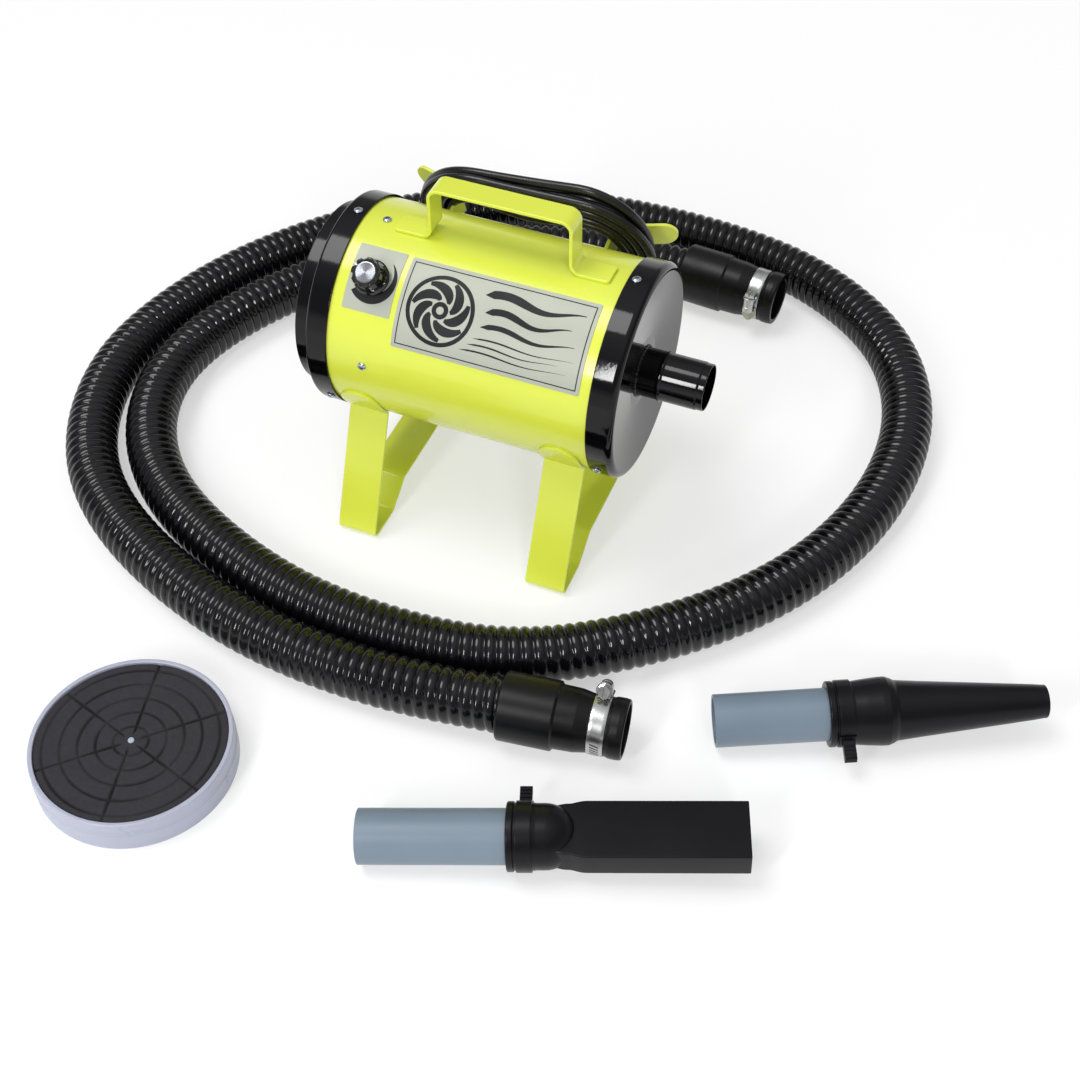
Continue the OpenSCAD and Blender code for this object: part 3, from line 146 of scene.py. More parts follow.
# Motor and fans: a two-stage blower motor inside the housing, with its brushes and bearings, held in
# rubber and a steel spider and wrapped in sound foam. The speed control sits before it, with its
# shaft, its terminal block and its heat sink.
for name, dark, light, rough, patch, grain, bump, metal, solids in (
        ("cast aluminium", (150, 152, 154), (186, 188, 190), (0.35, 0.55), 60, 500, 0.12, 0.9,
         ("motor_frame", "heat_sink")),
        ("pressed steel", (120, 122, 124), (160, 162, 165), (0.28, 0.42), 25, 700, 0.02, 0.95,
         ("fan_casing", "bulkhead", "motor_spider")),
        ("stamped aluminium", (176, 178, 180), (204, 206, 208), (0.22, 0.34), 30, 800, 0.02, 1.0,
         ("impeller_first", "impeller_second", "fixed_vanes")),
        ("gasket rubber", (18, 18, 19), (34, 34, 36), (0.6, 0.75), 40, 900, 0.06, 0.0,
         ("motor_gasket",)),
        ("laminated steel", (48, 46, 44), (78, 74, 70), (0.4, 0.6), 300, 1500, 0.1, 0.7,
         ("field_core", "armature_core")),
        ("enamelled copper", (128, 58, 22), (176, 92, 40), (0.22, 0.4), 220, 1400, 0.25, 0.6,
         ("field_coils",)),
        ("bare copper", (168, 94, 58), (206, 128, 84), (0.2, 0.35), 90, 900, 0.03, 1.0,
         ("commutator",)),
        ("ground steel", (170, 171, 173), (206, 207, 209), (0.12, 0.22), 60, 1200, 0.01, 1.0,
         ("armature_shaft", "bearings", "control_shaft")),
        ("brass", (150, 118, 54), (190, 156, 84), (0.2, 0.34), 60, 900, 0.02, 1.0,
         ("brush_holders", "fan_nut")),
        ("carbon", (24, 24, 26), (44, 44, 46), (0.45, 0.6), 200, 1800, 0.05, 0.0,
         ("carbon_brushes",)),
        ("sound foam", (58, 58, 61), (86, 86, 90), (0.85, 0.98), 90, 700, 0.8, 0.0,
         ("acoustic_foam",)),
        ("moulded resin", (30, 44, 46), (46, 62, 64), (0.35, 0.5), 50, 700, 0.05, 0.0,
         ("speed_control",)),
        ("terminal plastic", (206, 200, 182), (226, 222, 206), (0.35, 0.5), 50, 700, 0.04, 0.0,
         ("terminal_block",)),
        ("plated nut", (176, 178, 182), (214, 216, 220), (0.16, 0.3), 80, 900, 0.02, 1.0,
         ("control_nut",))):
    dress(finish(name, dark, light, rough, patch, grain, bump, Metallic=metal), *solids)


# End caps: two caps spun from steel sheet and enamelled gloss black, pressed over the housing's
# ends. The front one is dished round the outlet, and the rear one carries the intake ring.
BODY_R = 89.0
AXIS_H = 176.0
CAP_R, CAP_IN = BODY_R + 2.1, BODY_R + 0.3


def outline(corners, closed=True, step=15.0):
    """Points round a section with corners (across, along, radius), each radius with its arc."""
    points = [np.array(c[:2], float) for c in corners]
    line, n = [], len(corners)
    for i, corner in enumerate(corners):
        p, r = points[i], corner[2] if len(corner) > 2 else 0.0
        if r <= 0 or (not closed and i in (0, n - 1)):
            line.append(p)
            continue
        a, b = points[i - 1] - p, points[(i + 1) % n] - p
        far_a, far_b = np.linalg.norm(a), np.linalg.norm(b)
        a, b = a / far_a, b / far_b
        half = math.acos(np.clip(a @ b, -1, 1)) / 2
        cut = min(r / math.tan(half), 0.47 * far_a, 0.47 * far_b)
        r = cut * math.tan(half)
        middle = p + (a + b) / np.linalg.norm(a + b) * r / math.sin(half)
        first, last = p + a * cut - middle, p + b * cut - middle
        turn = math.atan2(first[0] * last[1] - first[1] * last[0], first @ last)
        steps = max(2, math.ceil(abs(math.degrees(turn)) / step))
        lead_a, lead_b = (min(0.4, 0.25 * (far - 2 * cut)) for far in (far_a, far_b))
        if lead_a > 0.05:
            line.append(p + a * (cut + lead_a))
        for k in range(steps + 1):
            c, s = math.cos(turn * k / steps), math.sin(turn * k / steps)
            line.append(middle + np.array([c * first[0] - s * first[1], s * first[0] + c * first[1]]))
        if lead_b > 0.05:
            line.append(p + b * (cut + lead_b))
    return np.array(line)


def skin(rings, closed_along=False, caps=True):
    """Vertices and faces of a surface through rings of equally many points."""
    rows, sides = len(rings), len(rings[0])
    faces = []
    for i in range(rows if closed_along else rows - 1):
        a, b = i * sides, (i + 1) % rows * sides
        faces += [(a + k, a + (k + 1) % sides, b + (k + 1) % sides, b + k) for k in range(sides)]
    if caps and not closed_along:
        faces += [tuple(range(sides - 1, -1, -1)), tuple((rows - 1) * sides + k for k in range(sides))]
    return np.asarray(rings, float).reshape(-1, 3), faces


def make_mesh(name, verts, faces, sharp=35):
    """A closed mesh in metres, its doubles merged, its faces outwards and its corners sharp."""
    mesh = bpy.data.meshes.new(name)
    mesh.from_pydata((np.asarray(verts) * 0.001).tolist(), [], faces)
    work = bmesh.new()
    work.from_mesh(mesh)
    bmesh.ops.remove_doubles(work, verts=work.verts, dist=2e-6)
    bmesh.ops.dissolve_degenerate(work, edges=work.edges, dist=5e-7)
    bmesh.ops.recalc_face_normals(work, faces=work.faces)
    work.to_mesh(mesh)
    work.free()
    mesh.shade_smooth()
    mesh.set_sharp_from_angle(angle=math.radians(sharp))
    return mesh


def place(origin, z, x):
    """A place for a piece: its origin in mm, and the directions of its Z and X."""
    z, x = np.array(z, float), np.array(x, float)
    return np.array([x, np.cross(z, x), z]), np.array(origin, float)


def placed(points, where):
    """The piece's own points, taken to its place."""
    return np.asarray(points, float) @ where[0] + where[1]


def along_axis(x=0.0):
    """A place on the housing's axis, with Z towards the outlet."""
    return place((x, 0, AXIS_H), (1, 0, 0), (0, 0, -1))


def full_turn(count):
    """Angles in equal steps round a full turn."""
    return np.arange(count) * 2 * np.pi / count


def round_rings(radii, heights, turns):
    """Rings round Z, with one radius and height for a ring, or one for each of its points."""
    radii, heights = radii + 0 * turns, heights + 0 * turns
    return np.stack([radii * np.cos(turns), radii * np.sin(turns), heights], -1)


def lathe(name, corners, where, closed=True, turns=128, sharp=35):
    """A turned piece. Its section's corners are (radius, along Z, corner radius)."""
    section = outline(corners, closed)
    rings = round_rings(section[:, :1], section[:, 1:], full_turn(turns))
    return make_mesh(name, *skin(placed(rings, where), closed, False), sharp)


def put(name, mesh, material, replaces=(), body="dryer"):
    """Adds a finished piece on one of the bodies, in place of its plain solids."""
    piece = new_object(name, mesh)
    piece.data.materials.clear()
    piece.data.materials.append(material)
    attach(piece, body)
    if replaces:
        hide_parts(*replaces)
    return piece


black_enamel = finish("black enamel", (3, 3, 5), (6, 6, 9), (0.05, 0.11), patch=12, grain=380, bump=0.02,
                      Specular_IOR_Level=0.3)
put("front_cap_spun", lathe("front_cap_spun", [
    (CAP_R, 114.0, 0.5), (CAP_R, 136.6, 5.5), (30.0, 130.6, 6.0), (20.45, 130.6, 0.3), (20.45, 128.8),
    (30.0, 128.8), (85.6, 134.8), (CAP_IN, 131.1), (CAP_IN, 114.0, 0.4)], along_axis(), turns=192),
    black_enamel, ["front_cap"])
put("rear_cap_spun", lathe("rear_cap_spun", [
    (CAP_R, -114.0, 0.5), (CAP_R, -133.6, 3.0), (78.5, -133.6, 1.0), (78.5, -149.0, 1.1),
    (76.7, -149.0, 0.6), (76.7, -131.8, 0.8), (CAP_IN, -131.8, 1.5), (CAP_IN, -114.0, 0.4)],
    along_axis(), turns=192), black_enamel, ["rear_cap"])


# Outlet: a short steel tube with a rolled bead and a swaged tip, flanged behind the front cap and
# welded to it all round, then enamelled with it.
put("outlet_swaged", lathe("outlet_swaged", [
    (18.6, 127.3, 0.2), (29.0, 127.3, 0.3), (29.0, 128.8, 0.3), (20.3, 128.8, 0.4), (20.3, 147.6, 0.6),
    (21.1, 148.9, 0.6), (21.1, 150.3, 0.6), (20.3, 151.6, 0.6), (20.3, 181.0, 0.5), (19.7, 182.2, 0.5),
    (19.7, 187.6, 0.5), (18.6, 187.6, 0.4)], along_axis(), turns=128), black_enamel,
    ["outlet_tube"])
weld_turn, weld_side = full_turn(240)[:, None], full_turn(12)
weld_r = 1.5 + 0.22 * np.sin(weld_turn * 34) + 0.1 * np.sin(weld_turn * 13 + 1)
weld = round_rings(20.9 + weld_r * np.cos(weld_side) * 0.8, 130.7 + weld_r * np.sin(weld_side), weld_turn)
put("outlet_weld", make_mesh("outlet_weld", *skin(placed(weld, along_axis()), True), sharp=80),
    black_enamel)


# Screws: zinc-plated pan-head screws with a cross recess. Three hold each cap to the housing, and
# one each holds the terminal block and the heat sink inside.
def in_circle(name, item, count, radius, first, material, where, loose=0.0, seed=1):
    """Copies of a mesh round a circle, each along its own radius and turned at random by loose."""
    tree = bpy.data.node_groups.new(name + " circle", "GeometryNodeTree")
    sockets = {}
    for label, kind, way in (("Item", "NodeSocketGeometry", "INPUT"), ("Count", "NodeSocketInt", "INPUT"),
                             ("Radius", "NodeSocketFloat", "INPUT"), ("First", "NodeSocketFloat", "INPUT"),
                             ("Loose", "NodeSocketFloat", "INPUT"), ("Seed", "NodeSocketInt", "INPUT"),
                             ("Finish", "NodeSocketMaterial", "INPUT"),
                             ("Copies", "NodeSocketGeometry", "OUTPUT")):
        sockets[label] = tree.interface.new_socket(label, in_out=way, socket_type=kind).identifier
    n, link = tree.nodes, tree.links.new
    start, end = n.new("NodeGroupInput"), n.new("NodeGroupOutput")

    def maths(operation, a, b=None):
        node = n.new("ShaderNodeMath")
        node.operation = operation
        for socket, value in zip(node.inputs, (a, b)):
            if isinstance(value, (int, float)):
                socket.default_value = value
            elif value is not None:
                link(value, socket)
        return node.outputs[0]

    points, index = n.new("GeometryNodePoints"), n.new("GeometryNodeInputIndex")
    spread = n.new("ShaderNodeCombineXYZ")
    link(start.outputs["Count"], points.inputs["Count"])
    share = maths("DIVIDE", index.outputs[0], start.outputs["Count"])
    angle = maths("ADD", maths("MULTIPLY", share, 2 * math.pi), start.outputs["First"])
    link(maths("MULTIPLY", maths("COSINE", angle), start.outputs["Radius"]), spread.inputs["X"])
    link(maths("MULTIPLY", maths("SINE", angle), start.outputs["Radius"]), spread.inputs["Y"])
    link(spread.outputs[0], points.inputs["Position"])
    chance = n.new("FunctionNodeRandomValue")
    chance.data_type = "FLOAT"
    link(start.outputs["Loose"], chance.inputs[3])
    link(start.outputs["Seed"], chance.inputs["Seed"])
    turn, copy = n.new("ShaderNodeCombineXYZ"), n.new("GeometryNodeInstanceOnPoints")
    link(chance.outputs[1], turn.inputs["X"])
    link(angle, turn.inputs["Z"])
    link(points.outputs[0], copy.inputs["Points"])
    link(start.outputs["Item"], copy.inputs["Instance"])
    link(turn.outputs[0], copy.inputs["Rotation"])
    whole, coat = n.new("GeometryNodeRealizeInstances"), n.new("GeometryNodeSetMaterial")
    link(copy.outputs[0], whole.inputs[0])
    link(whole.outputs[0], coat.inputs["Geometry"])
    link(start.outputs["Finish"], coat.inputs["Material"])
    link(coat.outputs[0], end.inputs[0])

    maker = new_object(name + " maker", item)
    modifier = maker.modifiers.new("circle", "NODES")
    modifier.node_group = tree
    for label, value in (("Count", count), ("Radius", radius * 0.001), ("First", math.radians(first)),
                         ("Loose", loose), ("Seed", seed), ("Finish", material)):
        modifier[sockets[label]] = value
    mesh = bpy.data.meshes.new_from_object(maker.evaluated_get(bpy.context.evaluated_depsgraph_get()))
    mesh.name = name
    maker.modifiers.clear()
    bpy.data.objects.remove(maker)
    axes, origin = where
    mesh.transform(Matrix.Translation((origin * 0.001).tolist()) @ Matrix(axes.T.tolist()).to_4x4())
    return mesh


def carve(mesh, sharp, *tools):
    """The mesh with each tool added to it or taken from it, and its corners sharp."""
    body = new_object("carve", mesh)
    helpers = []
    for tool, way in tools:
        helpers.append(new_object("tool", tool))
        step = body.modifiers.new("cut", "BOOLEAN")
        step.object, step.operation, step.solver = helpers[-1], way, "EXACT"
    result = bpy.data.meshes.new_from_object(body.evaluated_get(bpy.context.evaluated_depsgraph_get()))
    result.name = mesh.name
    body.modifiers.clear()
    for helper in helpers + [body]:
        bpy.data.objects.remove(helper)
    result.shade_smooth()
    result.set_sharp_from_angle(angle=math.radians(sharp))
    return result


def block(name, low, high, where):
    """A plain block, used as a tool that cuts."""
    (x, y, z) = zip(low, high)
    corners = np.array([[a, b, c] for c in z for a, b in
                        ((x[0], y[0]), (x[1], y[0]), (x[1], y[1]), (x[0], y[1]))])
    return make_mesh(name, placed(corners, where), [(3, 2, 1, 0), (4, 5, 6, 7), (0, 1, 5, 4),
                                                    (1, 2, 6, 5), (2, 3, 7, 6), (3, 0, 4, 7)])


def join(name, *meshes):
    """Several meshes in one."""
    work = bmesh.new()
    for mesh in meshes:
        work.from_mesh(mesh)
    whole = bpy.data.meshes.new(name)
    work.to_mesh(whole)
    work.free()
    return whole


zinc = finish("zinc plate", (168, 176, 190), (214, 222, 232), (0.16, 0.3), patch=160, grain=1500, bump=0.01,
              Metallic=1.0)
radial = place((0, 0, 0), (1, 0, 0), (0, 1, 0))
screw = carve(
    lathe("screw", [(0, -5.0), (2.0, -5.0), (2.0, 0.0), (3.7, 0.0, 0.15), (3.7, 1.1, 0.7),
                    (2.4, 2.0, 1.2), (0.9, 2.2, 0.5), (0, 2.2)], radial, closed=False, turns=40), 30,
    (block("slot", (-2.1, -0.42, 0.8), (2.1, 0.42, 3.0), radial), "DIFFERENCE"),
    (block("cross slot", (-0.42, -2.1, 0.8), (0.42, 2.1, 3.0), radial), "DIFFERENCE"))
for name, count, radius, spots in (
        ("cap_screw", 3, CAP_R + 0.1, (("rear", -121, 90, 4), ("front", 121, 90, 9))),
        ("body_screw", 1, BODY_R + 0.1, (("top", -95, 90, 3), ("side", -82, 5, 6)))):
    heads = [in_circle(name + "s_" + spot, screw, count, radius, angle, zinc,
                       place((x, 0, AXIS_H), (-1, 0, 0), (0, -1, 0)), loose=1.5, seed=seed)
             for spot, x, angle, seed in spots]
    put(name + "_heads", join(name + "_heads", *heads), zinc, [name + "s"])


# Intake grille: a pressed steel guard of twelve spokes and three rings inside the intake ring,
# sprayed satin black.
def round_bar(name, half, thick, edge, low, reach):
    """A bar with rounded edges, which reaches along X from one place to another."""
    section = outline([(-half, 0, edge), (half, 0, edge), (half, thick, edge), (-half, thick, edge)])
    return make_mesh(name, *skin([[(x, y, low + z) for y, z in section] for x in reach]))


satin_black = finish("satin black", (14, 14, 15), (26, 26, 28), (0.3, 0.45), patch=30, grain=800, bump=0.04)
grille_at = along_axis(-146.0)
put("intake_grille_pressed", join(
    "intake_grille_pressed",
    in_circle("grille_spokes", round_bar("spoke", 1.2, 2.0, 0.5, 0.0, (10.0, 75.2)), 12, 0.0, 0.0,
              satin_black, grille_at),
    lathe("hub", [(0, 0.1), (12, 0.1, 0.5), (12, 2.1, 0.6), (6, 2.6, 2.0), (0, 2.6)], grille_at,
          closed=False),
    *[lathe("ring", [(r - 2.4, 0, 0.5), (r, 0, 0.5), (r, 2, 0.5), (r - 2.4, 2, 0.5)], grille_at)
      for r in (25.5, 51.0, 76.4)]), satin_black, ["intake_grille"])


# Handle: one strap of mild steel, bent to a loop whose two feet are curved to the housing and
# welded down, then enamelled with it.
def strap(name, corners, width, thick, where, ends, low=None):
    """A bent strap. Its middle follows the corners, and ends gives its width by way from an end."""
    line = outline(corners, closed=False, step=9.0)
    run = np.r_[0, np.cumsum(np.linalg.norm(np.diff(line, axis=0), axis=1))]
    fine = np.array([0, 0.12, 0.35, 0.8, 1.5, 2.5, 3.7, 5, 6.5, 8, 10, 12, 14, 16, 19])
    at = np.unique(np.round(np.r_[run, fine, run[-1] - fine, np.arange(0, run[-1], 5.0)], 2))
    at = at[np.r_[True, np.diff(at) > 0.09]]
    line = np.stack([np.interp(at, run, line[:, c]) for c in (0, 1)], 1)
    way = np.gradient(line, axis=0)
    way /= np.linalg.norm(way, axis=1)[:, None]
    normal = np.stack([-way[:, 1], way[:, 0]], 1)
    wide = np.array([max(ends(s), 1.5) for s in np.minimum(at, run[-1] - at)]) / width
    flat = [(width * share, thick / 2) for share in (0.33, 0.165, 0, -0.165, -0.33)]
    section = outline([(width / 2, -thick / 2, 0.8), (width / 2, thick / 2, 0.8)] + flat
                      + [(-width / 2, thick / 2, 0.8), (-width / 2, -thick / 2, 0.8)]
                      + [(-a, -b) for a, b in flat], step=30)
    across = wide[:, None] * section[:, 0]
    u = line[:, :1] + normal[:, :1] * section[:, 1]
    v = line[:, 1:] + normal[:, 1:] * section[:, 1]
    if low is not None:
        v = v - np.clip(1 - (line[:, 1:] - low) / 8.0, 0, 1) * (low - np.sqrt(low ** 2 - across ** 2))
    return make_mesh(name, *skin(placed(np.stack([u, across, v], -1), where)), sharp=40)


def round_corners(width, radius):
    """The width of a strap's end that has rounded corners."""
    return lambda s: width - 2 * (radius - math.sqrt(max(radius ** 2 - max(radius - s, 0) ** 2, 0)))


def mirrored(half):
    """All corners of a strap whose halves match, from those of one half."""
    return half + [(-corner[0],) + corner[1:] for corner in reversed(half)]


FOOT_R = BODY_R + 1.55
HANDLE_W = 22.0
put("handle_strap", strap(
    "handle_strap", mirrored([(-93, FOOT_R), (-60.5, FOOT_R, 8.5), (-60.5, 136.5, 8.5)]), HANDLE_W, 3.0,
    place((9, 0, AXIS_H), (0, 0, 1), (1, 0, 0)), round_corners(HANDLE_W, 3.0), low=FOOT_R),
    yellow_enamel, ["handle"])


# Stands: each is one wide strap, bent to a foot on either side with a raised middle. Its ends are
# rounded, curved up the housing's sides and welded.
STAND_W = 36.0
TAB_R, TAB_ROUND = BODY_R + 1.3, 16.0


def tab_end(s):
    """The width of a stand's rounded tab."""
    return STAND_W * math.sqrt(max(1 - (1 - min(s, TAB_ROUND) / TAB_ROUND) ** 2, 0))


leg = [(-TAB_R * math.cos(a), AXIS_H - TAB_R * math.sin(a)) for a in map(math.radians, range(18, 43, 4))]
leg += [(-66.0, 114.4, 4.0), (-113.0, 1.25, 5.0), (-74.5, 1.25, 7.0), (-47.5, 19.25, 7.0)]
for name, x in (("front_stand", 88.0), ("rear_stand", -92.0)):
    put(name + "_strap", strap(name + "_strap", mirrored(leg), STAND_W, 2.5,
                               place((x, 0, 0), (0, 0, 1), (0, 1, 0)), tab_end),
        yellow_enamel, [name])


# Cord cleat: a strap bent like the handle but with its ends turned outwards as horns. It is welded
# to the housing's back, a little above the middle, and the cord is wound round it.
def out_back(x, angle):
    """A place at an angle behind the housing's top, with Z out of the housing."""
    a = math.radians(angle)
    return place((x, 0, AXIS_H), (0, math.sin(a), math.cos(a)), (1, 0, 0))


CLEAT_W = 26.0
cleat_at = out_back(-9.0, 73.0)
put("cleat_strap", strap(
    "cleat_strap", mirrored([(-122.5, 139.5), (-72, 123.5, 7.5), (-72, FOOT_R, 7.5)]), CLEAT_W, 3.0,
    cleat_at, round_corners(CLEAT_W, CLEAT_W / 2), low=FOOT_R), yellow_enamel, ["cord_cleat"])


# Plates: two thin aluminium plates curved to the housing and stuck to it. One bears the speed
# control's sweep, the other a plain frame, a fan wheel and lines of blown air, in black ink.
CONTROL_AT, NAME_AT = (-83.0, 53.0), (24.0, 46.0)
PLATE_R, PLATE_T = BODY_R + 0.1, 0.5
PRINT_R, PRINT_T = BODY_R + 0.58, 0.07
CURVE_STEP = 2.5


def on_housing(name, shapes, x, angle, radius, thick):
    """Flat shapes, drawn in mm along and up the housing, as a thin sheet curved to it."""
    work = bmesh.new()
    for shape in shapes:
        work.faces.new([work.verts.new((u, v, 0)) for u, v in shape])
    bmesh.ops.remove_doubles(work, verts=work.verts, dist=1e-4)
    low, high = min(v for s in shapes for u, v in s), max(v for s in shapes for u, v in s)
    for cut in np.arange(math.ceil(low / CURVE_STEP) * CURVE_STEP, high, CURVE_STEP):
        bmesh.ops.bisect_plane(work, geom=work.verts[:] + work.edges[:] + work.faces[:], dist=1e-5,
                               plane_co=(0, cut, 0), plane_no=(0, 1, 0))
    top = bmesh.ops.extrude_face_region(work, geom=work.faces[:])["geom"]
    for vert in top:
        if isinstance(vert, bmesh.types.BMVert):
            vert.co.z = thick
    verts = np.array([v.co[:] for v in work.verts])
    work.verts.index_update()
    faces = [tuple(v.index for v in f.verts) for f in work.faces]
    work.free()
    a = math.radians(angle) + verts[:, 1] / radius
    r = radius + verts[:, 2]
    return make_mesh(name, np.stack([x + verts[:, 0], -r * np.cos(a), AXIS_H + r * np.sin(a)], 1),
                     faces, 45)


def rounded_box(half_u, half_v, radius):
    """The outline of a plate with rounded corners."""
    return outline([(-half_u, -half_v, radius), (half_u, -half_v, radius), (half_u, half_v, radius),
                    (-half_u, half_v, radius)]).tolist()


def ribbon(line, widths):
    """A flat band along a line, as a row of four-sided shapes."""
    line = np.array(line, float)
    way = np.gradient(line, axis=0)
    way /= np.linalg.norm(way, axis=1)[:, None]
    side = np.stack([-way[:, 1], way[:, 0]], 1) * np.asarray(widths, float)[:, None] / 2
    a, b = line + side, line - side
    return [[a[i], b[i], b[i + 1], a[i + 1]] for i in range(len(line) - 1)]


def arc_band(turns, outer, inner, centre=(0, 0)):
    """A flat band between two radii round a centre, as a row of four-sided shapes."""
    way = np.stack([np.cos(turns), np.sin(turns)], 1)
    a, b = (way * np.reshape(radius, (-1, 1)) + centre for radius in (outer, inner))
    return [[a[i], a[i + 1], b[i + 1], b[i]] for i in range(len(turns) - 1)]


plate_metal = finish("plate aluminium", (164, 168, 156), (177, 181, 168), (0.42, 0.55), patch=30, grain=900,
                     bump=0.01, Metallic=0.15, Specular_IOR_Level=0.4)
black_ink = finish("black ink", (12, 12, 16), (20, 20, 25), (0.42, 0.55), patch=30, grain=900, bump=0.005,
                   Specular_IOR_Level=0.3)
for name, shape, at in (("control_plate", rounded_box(21.0, 27.6, 1.2), CONTROL_AT),
                        ("name_plate", rounded_box(81.0, 37.6, 1.5), NAME_AT)):
    put(name + "_sheet", on_housing(name + "_sheet", [shape], *at, PLATE_R, PLATE_T),
        plate_metal, [name])
SWEEP_R, SWEEP_STEPS = 20.3, 60
sweep = arc_band(np.radians(np.linspace(218, 412, SWEEP_STEPS)), SWEEP_R,
                 SWEEP_R - 12.5 * np.linspace(1, 0.02, SWEEP_STEPS) ** 0.8)
put("speed_sweep", on_housing("speed_sweep", sweep, *CONTROL_AT, PRINT_R, PRINT_T), black_ink)

drawing = [[(a, b), (c, b), (c, d), (a, d)] for a, b, c, d in (
    (-78.0, -34.6, 78.0, -33.7), (-78.0, 33.7, 78.0, 34.6), (-78.0, -33.7, -77.1, 33.7),
    (77.1, -33.7, 78.0, 33.7))]
WHEEL_AT, BLADES = (-45, 0), 7
for outer, inner in ((29.0, 25.5), (7.0, 3.2)):
    drawing += arc_band(np.radians(np.linspace(0, 360, 97)), outer, inner, WHEEL_AT)
for blade in range(BLADES):
    reach = np.linspace(0, 1, 14)
    lead = np.radians(blade * 360 / BLADES + 74 * reach ** 1.15)
    line = np.stack([np.cos(lead), np.sin(lead)], 1) * (8.4 + 15.6 * reach)[:, None] + WHEEL_AT
    drawing += ribbon(line, 1.6 + 6.2 * np.sin(np.pi * np.clip(reach * 0.86 + 0.06, 0, 1)))
for low, thick, first, last, swell in (
        (21.5, 7.0, -12, 72, 3.0), (7.5, 5.5, -8, 64, 3.0), (-4.5, 4.2, -9, 70, 2.4),
        (-14.5, 1.4, -13, 72, 1.2), (-20.0, 1.4, -17, 60, 1.2), (-25.5, 1.4, -23, 68, 1.2)):
    u = np.linspace(first, last, 40)
    s = (u - first) / (last - first)
    drawing += ribbon(np.stack([u, low + swell * np.sin(s * 2 * np.pi * 1.25)], 1),
                      thick * np.clip(np.minimum(s * 12, (1 - s) * 1.4) + 0.08, 0, 1))
put("name_plate_print", on_housing("name_plate_print", drawing, *NAME_AT, PRINT_R, PRINT_T),
    black_ink)


# Speed knob: a glossy black moulded knob with eight finger hollows and a white line, on the speed
# control's shaft, with a turned aluminium disc let into its top.
def out_front(x, angle):
    """A place at an angle above the housing's front, with Z out of the housing and Y up it."""
    a = math.radians(angle)
    return place((x, 0, AXIS_H), (0, -math.cos(a), math.sin(a)), (1, 0, 0))


def turned(where, turn):
    """The same place, turned about its Z."""
    (x, y, z), origin = where
    c, s = math.cos(math.radians(turn)), math.sin(math.radians(turn))
    return np.array([x * c + y * s, y * c - x * s, z]), origin


KNOB_SIDES, HOLLOWS = 192, 8
HOLLOW_AT, HOLLOW_R = 14.6, 3.4
knob_at = out_front(*CONTROL_AT)
corners = outline([(0, 92.8), (15.0, 92.8, 0.4), (15.0, 94.6, 0.8), (13.6, 96.2, 0.8), (13.1, 96.8, 0.3),
                   (12.5, 109.6, 1.3), (8.65, 109.6, 0.25), (8.65, 108.4), (0, 108.4)], closed=False)
knob_side = []
for a, b in zip(corners[:-1], corners[1:]):
    steps = max(1, int(np.linalg.norm(b - a) / 1.5))
    knob_side += [a + (b - a) * k / steps for k in range(steps)]
knob_side = np.array(knob_side + [corners[-1]])
knob_turn = full_turn(KNOB_SIDES)
hollow = knob_turn % (2 * np.pi / HOLLOWS) - np.pi / HOLLOWS
reach = HOLLOW_R ** 2 - (HOLLOW_AT * np.sin(hollow)) ** 2
scoop = np.where(reach > 0, HOLLOW_AT * np.cos(hollow) - np.sqrt(np.maximum(reach, 0)), 99.0)
knob_r = np.repeat(knob_side[:, :1], KNOB_SIDES, 1)
deep = (knob_side[:, 1] > 96.3) & (knob_side[:, 0] > 9.5)
knob_r[deep] = np.minimum(knob_r[deep], scoop - np.clip((knob_side[deep, 1:] - 108.3) * 0.9, 0, 9))
knob_rings = round_rings(knob_r, knob_side[:, 1:], knob_turn)
gloss_black = finish("gloss black plastic", (5, 5, 6), (12, 12, 13), (0.07, 0.15), patch=60, grain=800,
                     bump=0.004, Coat_Weight=0.3, Coat_Roughness=0.05)
put("knob_moulded", make_mesh("knob_moulded", *skin(placed(knob_rings, knob_at), caps=False), sharp=38),
    gloss_black, ["speed_knob"], body="knob")
pointer = outline([(9.2, 109.55, 0.05), (9.2, 109.75, 0.05), (11.4, 109.75, 0.3), (12.75, 108.3, 0.3),
                   (12.95, 103.5, 0.05), (12.4, 103.5, 0.05), (11.2, 109.0)])
pointer = [[(x, y, z) for x, z in pointer] for y in (-0.65, 0.65)]
put("knob_pointer", make_mesh("knob_pointer", *skin(placed(pointer, turned(knob_at, 155.0))), sharp=30),
    finish("white line", (226, 228, 230), (240, 241, 242), (0.3, 0.42), patch=60, grain=800, bump=0.01),
    body="knob")

disc_side = np.array([
    (0.0, 109.75), (0.6, 109.78), (1.6, 109.8), (3.0, 109.8), (4.6, 109.8), (6.2, 109.8), (7.6, 109.8),
    (8.2, 109.8), (8.45, 109.74), (8.55, 109.6), (8.55, 108.42), (0.0, 108.42)])
disc_rings = round_rings(disc_side[:, :1], disc_side[:, 1:], full_turn(96))
disc_mesh = make_mesh("knob_disc_turned", *skin(placed(disc_rings, knob_at), caps=False), sharp=30)
lathe_marks = disc_mesh.uv_layers.new(name="lathe marks")
for face in disc_mesh.polygons:
    middle = knob_at[0] @ (np.array(face.center) * 1000 - knob_at[1])
    middle_turn = math.atan2(middle[1], middle[0]) / (2 * math.pi)
    for corner in face.loop_indices:
        vertex = disc_mesh.vertices[disc_mesh.loops[corner].vertex_index]
        own = knob_at[0] @ (np.array(vertex.co) * 1000 - knob_at[1])
        out = math.hypot(own[0], own[1])
        turn = math.atan2(own[1], own[0]) / (2 * math.pi) if out > 0.01 else middle_turn
        lathe_marks.data[corner].uv = (turn + round(middle_turn - turn), out / 10)
